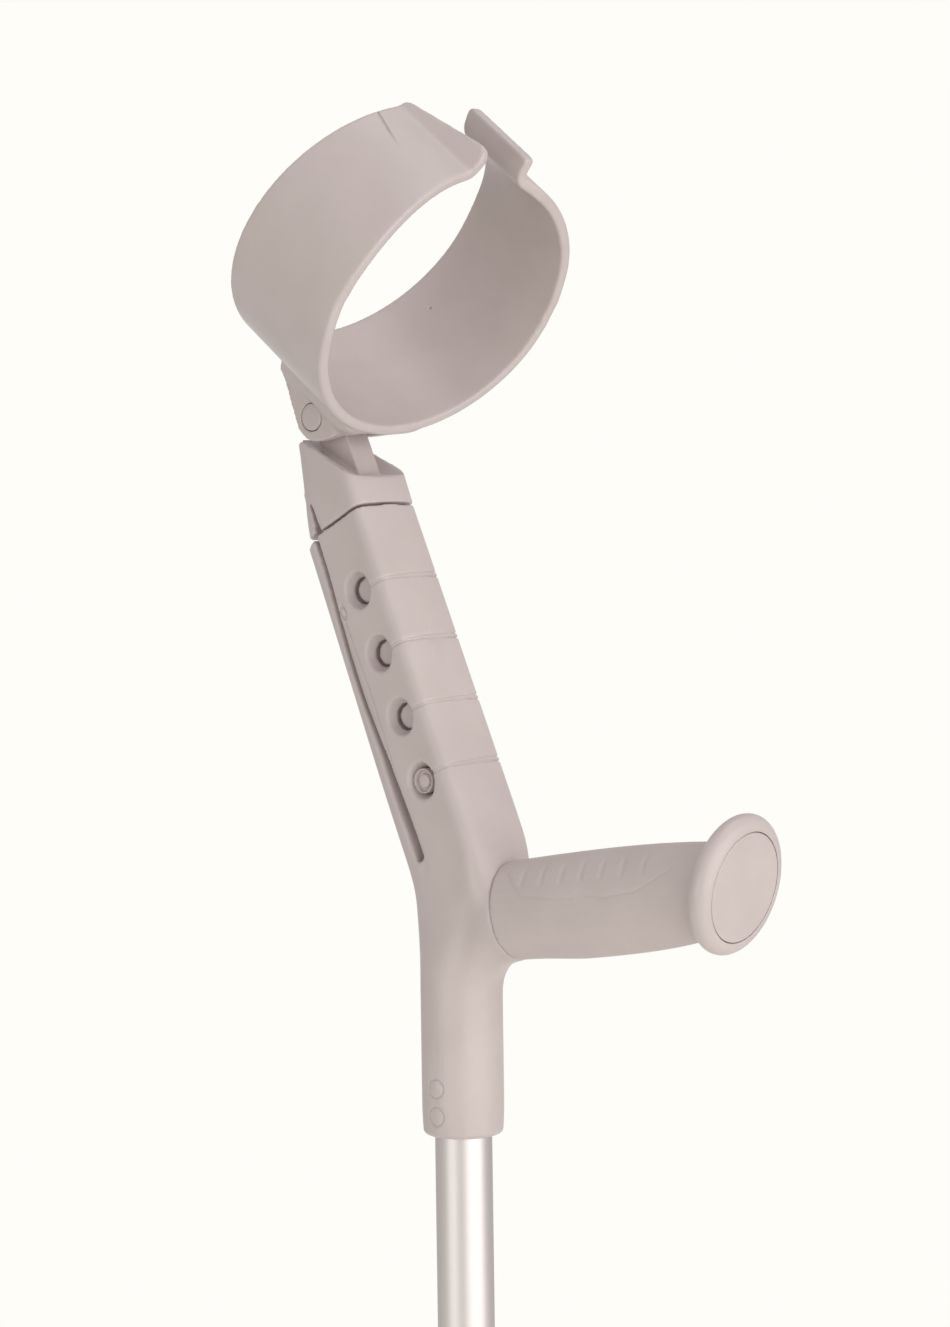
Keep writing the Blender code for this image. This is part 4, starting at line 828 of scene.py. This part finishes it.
def cuffMove(shape, local):  # how far the hinge base and the front rim depart from the solid
    cheek, gusset, rim = (shape[key] for key in ("cheek", "gusset", "rim"))
    axial, side, up = local.T
    radius = np.hypot(axial, up)
    turn = np.abs(np.degrees(np.arctan2(up, axial)) - cheek["about"])
    push = between(radius, *cheek["radii"]) * ease(turn, *cheek["turn"]) * ease(side, *cheek["side"])
    move = local * (1, 0, 1) * (push * cheek["out"] / radius)[:, None]
    onGusset = between(np.abs(side), *gusset["aside"]) * ease(up, *gusset["under"])
    move[:, 0] += onGusset * ease(axial, *gusset["back"]) * gusset["drawn"]
    for hand, (fill, reach) in rim["fill"].items():
        level = ease(np.abs(up - rim["level"]), reach, 0)
        move[:, 0] += level * ease(axial, *rim["front"]) * (side * hand > rim["aside"]) * fill
    return move * mm


def buildCuff(shape):
    fold, crease, pit = (shape[key] for key in ("fold", "crease", "pit"))
    piece = softMoulding("cuff", "cuffRing", shape)
    local = inFrame(meshPlaces(piece)[0], cuffFrame)
    bothSides = (local, local * (1, -1, 1))
    fromFold = np.minimum(*(byLine(points, fold["start"], fold["end"])[1] for points in bothSides))
    softenWhere(piece, ease(fromFold, *fold["reach"]), fold["rounds"])

    def fineMarks(places):
        local = inFrame(places, cuffFrame)
        onCrease = byLine(local, crease["start"], crease["end"])[1] < crease["fineReach"]
        return onCrease | (np.linalg.norm(local - pit["at"], axis=1) < pit["fineReach"])

    refineWhere(piece, fineMarks, shape["fineCuts"])
    places, facing = meshPlaces(piece)
    local = inFrame(places, cuffFrame)
    share, off = byLine(local, crease["start"], crease["end"])
    depth = groove(off, crease["half"], crease["soft"]) * crease["depth"] * ease(share, *crease["fade"])
    fromPit = np.linalg.norm(local - pit["at"], axis=1)
    depth += groove(fromPit, pit["radius"], pit["soft"]) * pit["depth"]
    places += cuffMove(shape, local) @ np.array(cuffFrame.to_3x3()).T
    pressIn(piece, places, facing, depth)
    lighten(piece, shape["triangles"])
    place(piece, "cuff_ring", ["cuff"], greyMoulding)


buildCuff(cuffShape)


# turned pieces of the handle's end and of the hinge

endFlange = {
    "recess": 20.8,
    "height": 52.6,
    "thick": 9.2,
    "seat": -2.9,
    "screwHead": (4.8, 3.5),  # radius and depth
    "screwHole": 2.3,
    "bevel": 0.25,
    "oval": 0.9,
}


def buildEndFlange(shape):
    recess, seat, half = shape["recess"], shape["seat"], shape["thick"] / 2
    wide, deep = shape["screwHead"]
    rings = [(wide, seat - deep), (wide, seat), (recess, seat)]
    rings += arcRings(recess, -half, shape["height"] / 2 - recess, half, 90, -90, 24)
    rings += [(shape["screwHole"], -shape["thick"]), (shape["screwHole"], seat - deep)]
    piece = turnPiece("endFlange", rings, flangeFrame, segments=128, bored=True, bevel=shape["bevel"],
                      oval=shape["oval"])
    place(piece, "handle", ["handle_end_flange"], greyMoulding)


endDisc = {
    "radius": 20.5,
    "thick": 2.6,
    "dish": 0.25,  # how far its middle lies back
    "halfway": (0.5, 0.75),  # share of the radius, and of the dish there
    "rim": (2.0, 0.05),  # width, and how far it lies back
    "middle": 0.3,
    "bevel": 0.5,
    "oval": 0.9,
}


def buildEndDisc(shape):
    radius, thick, dish, middle = (shape[key] for key in ("radius", "thick", "dish", "middle"))
    halfway, halfDish = shape["halfway"]
    rimWide, rimBack = shape["rim"]
    rings = [(middle, -dish), (radius * halfway, -dish * halfDish), (radius - rimWide, -rimBack)]
    rings += [(radius, 0.0), (radius, -thick), (middle, -thick)]
    piece = turnPiece("endDisc", rings, flangeFrame, segments=128, bevel=shape["bevel"], oval=shape["oval"])
    place(piece, "handle", ["handle_end_disc"], greyMoulding)


buildEndFlange(endFlange)
buildEndDisc(endDisc)

hingePin = {
    "face": 14.0,  # of the head and the cap, from the cuff's middle
    "headRadius": 5.3,
    "headThick": 2.6,
    "crown": ((0.7, 0.02), (1.0, 0.15)),  # shares of the radius, and how far they lie back
    "shankRadius": 3.5,
    "endGap": 0.3,
    "socket": (2.0, 4.4),  # for the cap's spigot: radius and depth
    "spigotRadius": 1.7,
    "middle": 0.2,
    "pinBevel": 0.35,
    "capBevel": 0.3,
}


def buildHingePin(shape):
    face, head, shank, middle = (shape[key] for key in ("face", "headRadius", "shankRadius", "middle"))
    bore, deep = shape["socket"]
    under = face - shape["headThick"]
    end = shape["endGap"] - under
    crown = [(middle, face)]
    crown += [(head * share, face - back) for share, back in shape["crown"]] + [(head, under)]
    rings = crown + [(shank, under), (shank, end), (bore, end), (bore, end + deep), (middle, end + deep)]
    piece = turnPiece("hingePin", rings, towardsNear(cuffFrame), segments=64, bevel=shape["pinBevel"])
    place(piece, "cuff_ring", ["cuff_pivot_pin"], greyMoulding)
    spigot = shape["spigotRadius"]
    rings = [(radius, -height) for radius, height in crown]
    rings += [(spigot, -under), (spigot, deep - under), (middle, deep - under)]
    piece = turnPiece("hingeCap", rings, towardsNear(cuffFrame), segments=64, bevel=shape["capBevel"])
    place(piece, "cuff_ring", ["cuff_pivot_cap"], greyMoulding)


buildHingePin(hingePin)


# snap buttons

cuffButton = {
    "radius": 4.8,
    "tip": 13.4,
    "boss": 2.5,
    "bossTop": 0.35,  # below the tip
    "bossEdge": ((-0.4, 0.4), (0.0, 0.6)),  # off its radius, and below the tip
    "bossFoot": 0.5,
    "moat": 1.7,
    "rimFoot": 1.0,
    "rimInside": (0.6, 0.3),  # in from the radius, and below the tip
    "rimRound": 0.4,
    "flangeRadius": 6.2,
    "flange": (4.4, 6.2),
    "middle": 0.2,
}
legButton = {
    "radius": 3.8,
    "tip": 14.2,
    "nose": 1.6,
    "flangeRadius": 5.0,
    "flange": (5.045, 6.245),
    "height": 560.0,
    "middle": 0.2,
}


def buttonFoot(shape):  # flange that keeps the button in its hole
    low, high = shape["flange"]
    wide = shape["flangeRadius"]
    return [(shape["radius"], high), (wide, high), (wide, low), (shape["middle"], low)]


def buildCuffButton(shape):
    radius, tip, boss, bend = (shape[key] for key in ("radius", "tip", "boss", "rimRound"))
    floor = tip - shape["moat"]
    inside, below = shape["rimInside"]
    rings = [(shape["middle"], tip - shape["bossTop"])]
    rings += [(boss + off, tip - drop) for off, drop in shape["bossEdge"]]
    rings += [(boss + shape["bossFoot"], floor), (radius - shape["rimFoot"], floor)]
    rings += [(radius - inside, tip - below), (radius - bend, tip)]
    rings += arcRings(radius - bend, tip - bend, bend, bend, 75, 0, 4) + buttonFoot(shape)
    piece = turnPiece("cuffButton", rings, towardsNear(armFrame), segments=64)
    place(piece, "cuff_snap", ["cuff_button"], greyMoulding)


def buildLegButton(shape):
    tip, nose = shape["tip"], shape["nose"]
    rings = [(shape["middle"], tip)] + arcRings(shape["radius"] - nose, tip - nose, nose, nose, 90, 0, 10)
    rings += buttonFoot(shape)
    piece = turnPiece("legButton", rings, towardsNear(upright, z=shape["height"]), segments=64)
    place(piece, "leg_snap", ["leg_button"], greyMoulding)


buildCuffButton(cuffButton)
buildLegButton(legButton)


# leg: two drawn tubes, a collar and the rubber tip

upperTube = {"radius": 11.0, "low": 380.0, "high": 852.0, "firstHole": 435.0, "holeCount": 10}
lowerTube = {"radius": 9.5, "low": 14.1, "high": 620.0, "firstHole": 560.0, "holeCount": 1}
tubeMaking = {"wall": 1.2, "ringStep": 12.0, "bevel": 0.25, "holePitch": 25.0, "holeRadius": 4.2}


def buildTube(name, shape, making, body, node):
    outer, inner = shape["radius"], shape["radius"] - making["wall"]
    steps = round((shape["high"] - shape["low"]) / making["ringStep"])
    levels = [shape["low"] + (shape["high"] - shape["low"]) * k / steps for k in range(steps + 1)]
    rings = [(outer, level) for level in levels] + [(inner, level) for level in reversed(levels)]
    piece = turnPiece(name, rings, upright, segments=128, bored=True, bevel=making["bevel"])
    drills = []
    for k in range(shape["holeCount"]):
        middle = (0, -outer * mm, (shape["firstHole"] + k * making["holePitch"]) * mm)
        dropSelection()
        bpy.ops.mesh.primitive_cylinder_add(vertices=48, radius=making["holeRadius"] * mm,
                                            depth=2 * outer * mm, location=middle,
                                            rotation=(math.pi / 2, 0, 0))
        drills.append(bpy.context.object)
    for drill in drills:
        drill.select_set(True)
    if len(drills) > 1:
        bpy.ops.object.join()
    drill = bpy.context.object
    finishWith(piece, "BOOLEAN", operation="DIFFERENCE", solver="EXACT", object=drill)
    bpy.data.objects.remove(drill)
    pickOnly(piece)
    bpy.ops.object.shade_smooth_by_angle(angle=turnedFinish["smoothAngle"])
    place(piece, body, [node], tubeMetal)


buildTube("upperTube", upperTube, tubeMaking, "handle", "upper_tube")
buildTube("lowerTube", lowerTube, tubeMaking, "leg", "lower_tube")

tubeCollar = {
    "bore": 11.3,
    "outer": 13.7,
    "lip": 9.8,
    "top": 410.0,
    "seat": 379.7,
    "foot": 374.7,
    "mouth": 0.6,
    "topRound": 1.2,
    "footRound": 2.4,
    "ribs": (398.35, 392.35, 386.35),
    "ribRise": 0.8,
    "ribHalf": 1.5,
}


def buildCollar(shape):
    bore, outer, top, foot = (shape[key] for key in ("bore", "outer", "top", "foot"))
    mouth, topRound, footRound = shape["mouth"], shape["topRound"], shape["footRound"]
    rings = [(bore, top - mouth), (bore + mouth, top)]
    rings += arcRings(outer - topRound, top - topRound, topRound, topRound, 90, 0, 6)
    for centre in shape["ribs"]:
        rings += arcRings(outer, centre, shape["ribRise"], shape["ribHalf"], 90, -90, 10)
    rings += arcRings(bore, foot + footRound, outer - bore, footRound, 0, -90, 8)
    rings += [(shape["lip"], foot), (shape["lip"], shape["seat"]), (bore, shape["seat"])]
    piece = turnPiece("tubeCollar", rings, upright, bored=True)
    place(piece, "handle", ["upper_tube_collar"], greyMoulding)


buildCollar(tubeCollar)

rubberTip = {
    "bore": 9.8,
    "neck": 13.4,
    "sole": 20.0,
    "height": 52.0,
    "floor": 12.0,
    "ringHeights": (43, 37, 31),
    "ringRise": 1.3,
    "ringHalf": 1.5,
    "flare": (25.0, 6.6),  # from, down to
    "flareBow": 1.6,
    "flareSteps": 12,
    "edge": 1.2,
    "treads": (15.5, 9.5),
    "treadHalf": (1.3, 0.91),  # at the sole and in its floor
    "treadDepth": 2.2,
    "middle": 0.3,
}


def buildRubberTip(shape):
    bore, neck, sole, edge, middle = (shape[key] for key in ("bore", "neck", "sole", "edge", "middle"))
    lip = (neck - bore) / 2
    rings = [(middle, shape["floor"]), (bore, shape["floor"])]
    rings += arcRings(bore + lip, shape["height"] - lip, lip, lip, 180, 0, 14)
    for centre in shape["ringHeights"]:
        rings += arcRings(neck, centre, shape["ringRise"], shape["ringHalf"], 90, -90, 10)
    top, bottom = shape["flare"]
    for k in range(shape["flareSteps"] + 1):
        share = k / shape["flareSteps"]
        rings.append((neck + (sole - neck) * share ** shape["flareBow"], top + (bottom - top) * share))
    rings += arcRings(sole - edge, edge, edge, edge, 0, -90, 6)
    wide, narrow = shape["treadHalf"]
    deep = shape["treadDepth"]
    for radius in shape["treads"]:
        rings += [(radius + wide, 0.0), (radius + narrow, deep)]
        rings += [(radius - narrow, deep), (radius - wide, 0.0)]
    rings.append((middle, 0.0))
    piece = turnPiece("rubberTip", rings, upright)
    place(piece, "leg", ["ferrule"], tipRubber)


buildRubberTip(rubberTip)


# floor, light and camera

stageSettings = {
    "white": "#FEFDF9",
    "floor": "#F3F1EC",
    "floorRoughness": 0.8,
    "floorRadius": 1.9,
    "floorBelow": 0.5 * mm,  # the tip's sole
    "floorFade": (0.2, 1.3),  # the camera sees it pass into the white of the background, from here to here
    "floorPale": 0.5,  # share of that white by the tip
    "worldLevel": 0.55,
    "backdropTurn": 42.0,  # the camera looks along this azimuth at the backdrop
    "backdropAngles": (30.0, 14.0),  # white fades in between these angles from its middle
}


def buildFloor(settings):
    dropSelection()
    bpy.ops.mesh.primitive_circle_add(vertices=128, radius=settings["floorRadius"], fill_type="NGON",
                                      location=(0, 0, -settings["floorBelow"]))
    floor = bpy.context.object
    floor.name = "studioFloor"
    material, tree, shader = newMaterial("pale_studio_floor", Roughness=settings["floorRoughness"],
                                         Base_Color=linearColour(settings["floor"]))
    floor.data.materials.append(material)
    where = addNode(tree, "TexCoord").outputs["Object"]
    far = addNode(tree, "VectorMath", {"operation": "LENGTH"}, {0: where})
    near, rim = settings["floorFade"]
    fade = {"From Min": near, "From Max": rim, "To Min": settings["floorPale"],
            "interpolation_type": "SMOOTHSTEP"}
    share = addNode(tree, "MapRange", fade, {"Value": far.outputs["Value"]})
    path = addNode(tree, "LightPath").outputs
    seen = mathNode(tree, "MAXIMUM", path["Is Camera Ray"], path["Is Glossy Ray"])
    seen = mathNode(tree, "MAXIMUM", seen, path["Is Transmission Ray"])
    part = mathNode(tree, "MULTIPLY", seen, share.outputs["Result"])
    white = addNode(tree, "Emission", {"Color": linearColour(settings["white"]), "Strength": 1.0})
    both = addNode(tree, "MixShader", {}, {0: part, 1: shader.outputs["BSDF"], 2: white.outputs["Emission"]})
    tree.links.new(both.outputs["Shader"], tree.nodes["Material Output"].inputs["Surface"])


def buildBackdrop(settings):  # white for the camera, and for gloss that mirrors the backdrop
    world = bpy.data.worlds.new("white_studio")
    bpy.context.scene.world = world
    world.use_nodes = True
    tree = world.node_tree
    background = tree.nodes["Background"]
    background.inputs["Color"].default_value = linearColour(settings["white"])
    turn = math.radians(settings["backdropTurn"])
    middle = (-math.sin(turn), math.cos(turn), 0)
    where = addNode(tree, "TexCoord").outputs["Generated"]
    towards = addNode(tree, "VectorMath", {"operation": "DOT_PRODUCT", 1: middle}, {0: where})
    outer, inner = (math.cos(math.radians(angle)) for angle in settings["backdropAngles"])
    fade = {"From Min": outer, "From Max": inner, "interpolation_type": "SMOOTHSTEP"}
    backdrop = addNode(tree, "MapRange", fade, {"Value": towards.outputs["Value"]})
    path = addNode(tree, "LightPath").outputs
    mirrored = mathNode(tree, "MULTIPLY", path["Is Glossy Ray"], backdrop.outputs["Result"])
    seen = mathNode(tree, "MAXIMUM", path["Is Camera Ray"], path["Is Transmission Ray"])
    white = mathNode(tree, "MAXIMUM", seen, mirrored)
    level = addNode(tree, "MapRange", {"To Min": settings["worldLevel"], "To Max": 1.0}, {"Value": white})
    tree.links.new(level.outputs["Result"], background.inputs["Strength"])


lampSettings = {
    "aim": (0.02, 0, 0.97),
    "away": 1.9,
    "lamps": {
        "keyRight": {"azimuth": 84, "rise": -3, "size": (2.7, 2.2), "power": 30.0},
        "fillLeft": {"azimuth": -6, "rise": -8, "size": (1.3, 1.2), "power": 6.2},
        "topSoft": {"azimuth": 100, "rise": 72, "size": (1.2, 1.2), "power": 7.0},
    },
}


def fromMiddle(azimuth, rise):  # direction from the object to a lamp or to the camera
    a, e = math.radians(azimuth), math.radians(rise)
    return Vector((math.sin(a) * math.cos(e), -math.cos(a) * math.cos(e), math.sin(e)))


def buildLamps(settings):
    for name, lamp in settings["lamps"].items():
        data = bpy.data.lights.new(name, "AREA")
        data.shape = "RECTANGLE"
        data.size, data.size_y = lamp["size"]
        data.energy = lamp["power"]
        away = fromMiddle(lamp["azimuth"], lamp["rise"])
        light = bpy.data.objects.new(name, data)
        bpy.context.scene.collection.objects.link(light)
        light.location = Vector(settings["aim"]) + away * settings["away"]
        light.rotation_euler = (-away).to_track_quat("-Z", "Y").to_euler()


cameraSettings = {
    "azimuth": 42.0,
    "rise": 3.0,
    "roll": -0.8,
    "place": (0.8976, -0.9866, 1.0176),
    "focalPixels": 3500,
    "pictureHeight": 1327,
    "sensor": 36.0,
}


def buildCamera(settings):
    turn, roll = math.radians(settings["azimuth"]), math.radians(settings["roll"])
    back = fromMiddle(settings["azimuth"], settings["rise"])
    right = Vector((math.cos(turn), math.sin(turn), 0))
    up = back.cross(right)
    across = right * math.cos(roll) + up * math.sin(roll)
    upwards = up * math.cos(roll) - right * math.sin(roll)
    data = bpy.data.cameras.new("photoCamera")
    data.lens = settings["focalPixels"] / settings["pictureHeight"] * settings["sensor"]
    data.sensor_width = settings["sensor"]
    camera = bpy.data.objects.new("photoCamera", data)
    bpy.context.scene.collection.objects.link(camera)
    looking = Matrix((across, upwards, back)).transposed().to_4x4()
    camera.matrix_world = Matrix.Translation(Vector(settings["place"])) @ looking
    bpy.context.scene.camera = camera


buildFloor(stageSettings)
buildBackdrop(stageSettings)
buildLamps(lampSettings)
buildCamera(cameraSettings)
bpy.context.scene.view_settings.view_transform = "Standard"
print("floor, light and camera set")


# CAD nodes that stay as they are get their own finish

nodeFinish = {
    "lower_tube_guide": greyMoulding,
    "ferrule_washer": springSteel,
    "cuff_button_spring": springSteel,
    "leg_button_spring": springSteel,
    "handle_end_screw": springSteel,
    "handle_end_insert": turnedBrass,
    "cuff_pivot_bush": turnedBrass,
}
for node, finish in nodeFinish.items():
    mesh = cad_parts[node].data
    mesh.materials.clear()
    mesh.materials.append(finish)
print("CAD nodes finished:", len(nodeFinish))
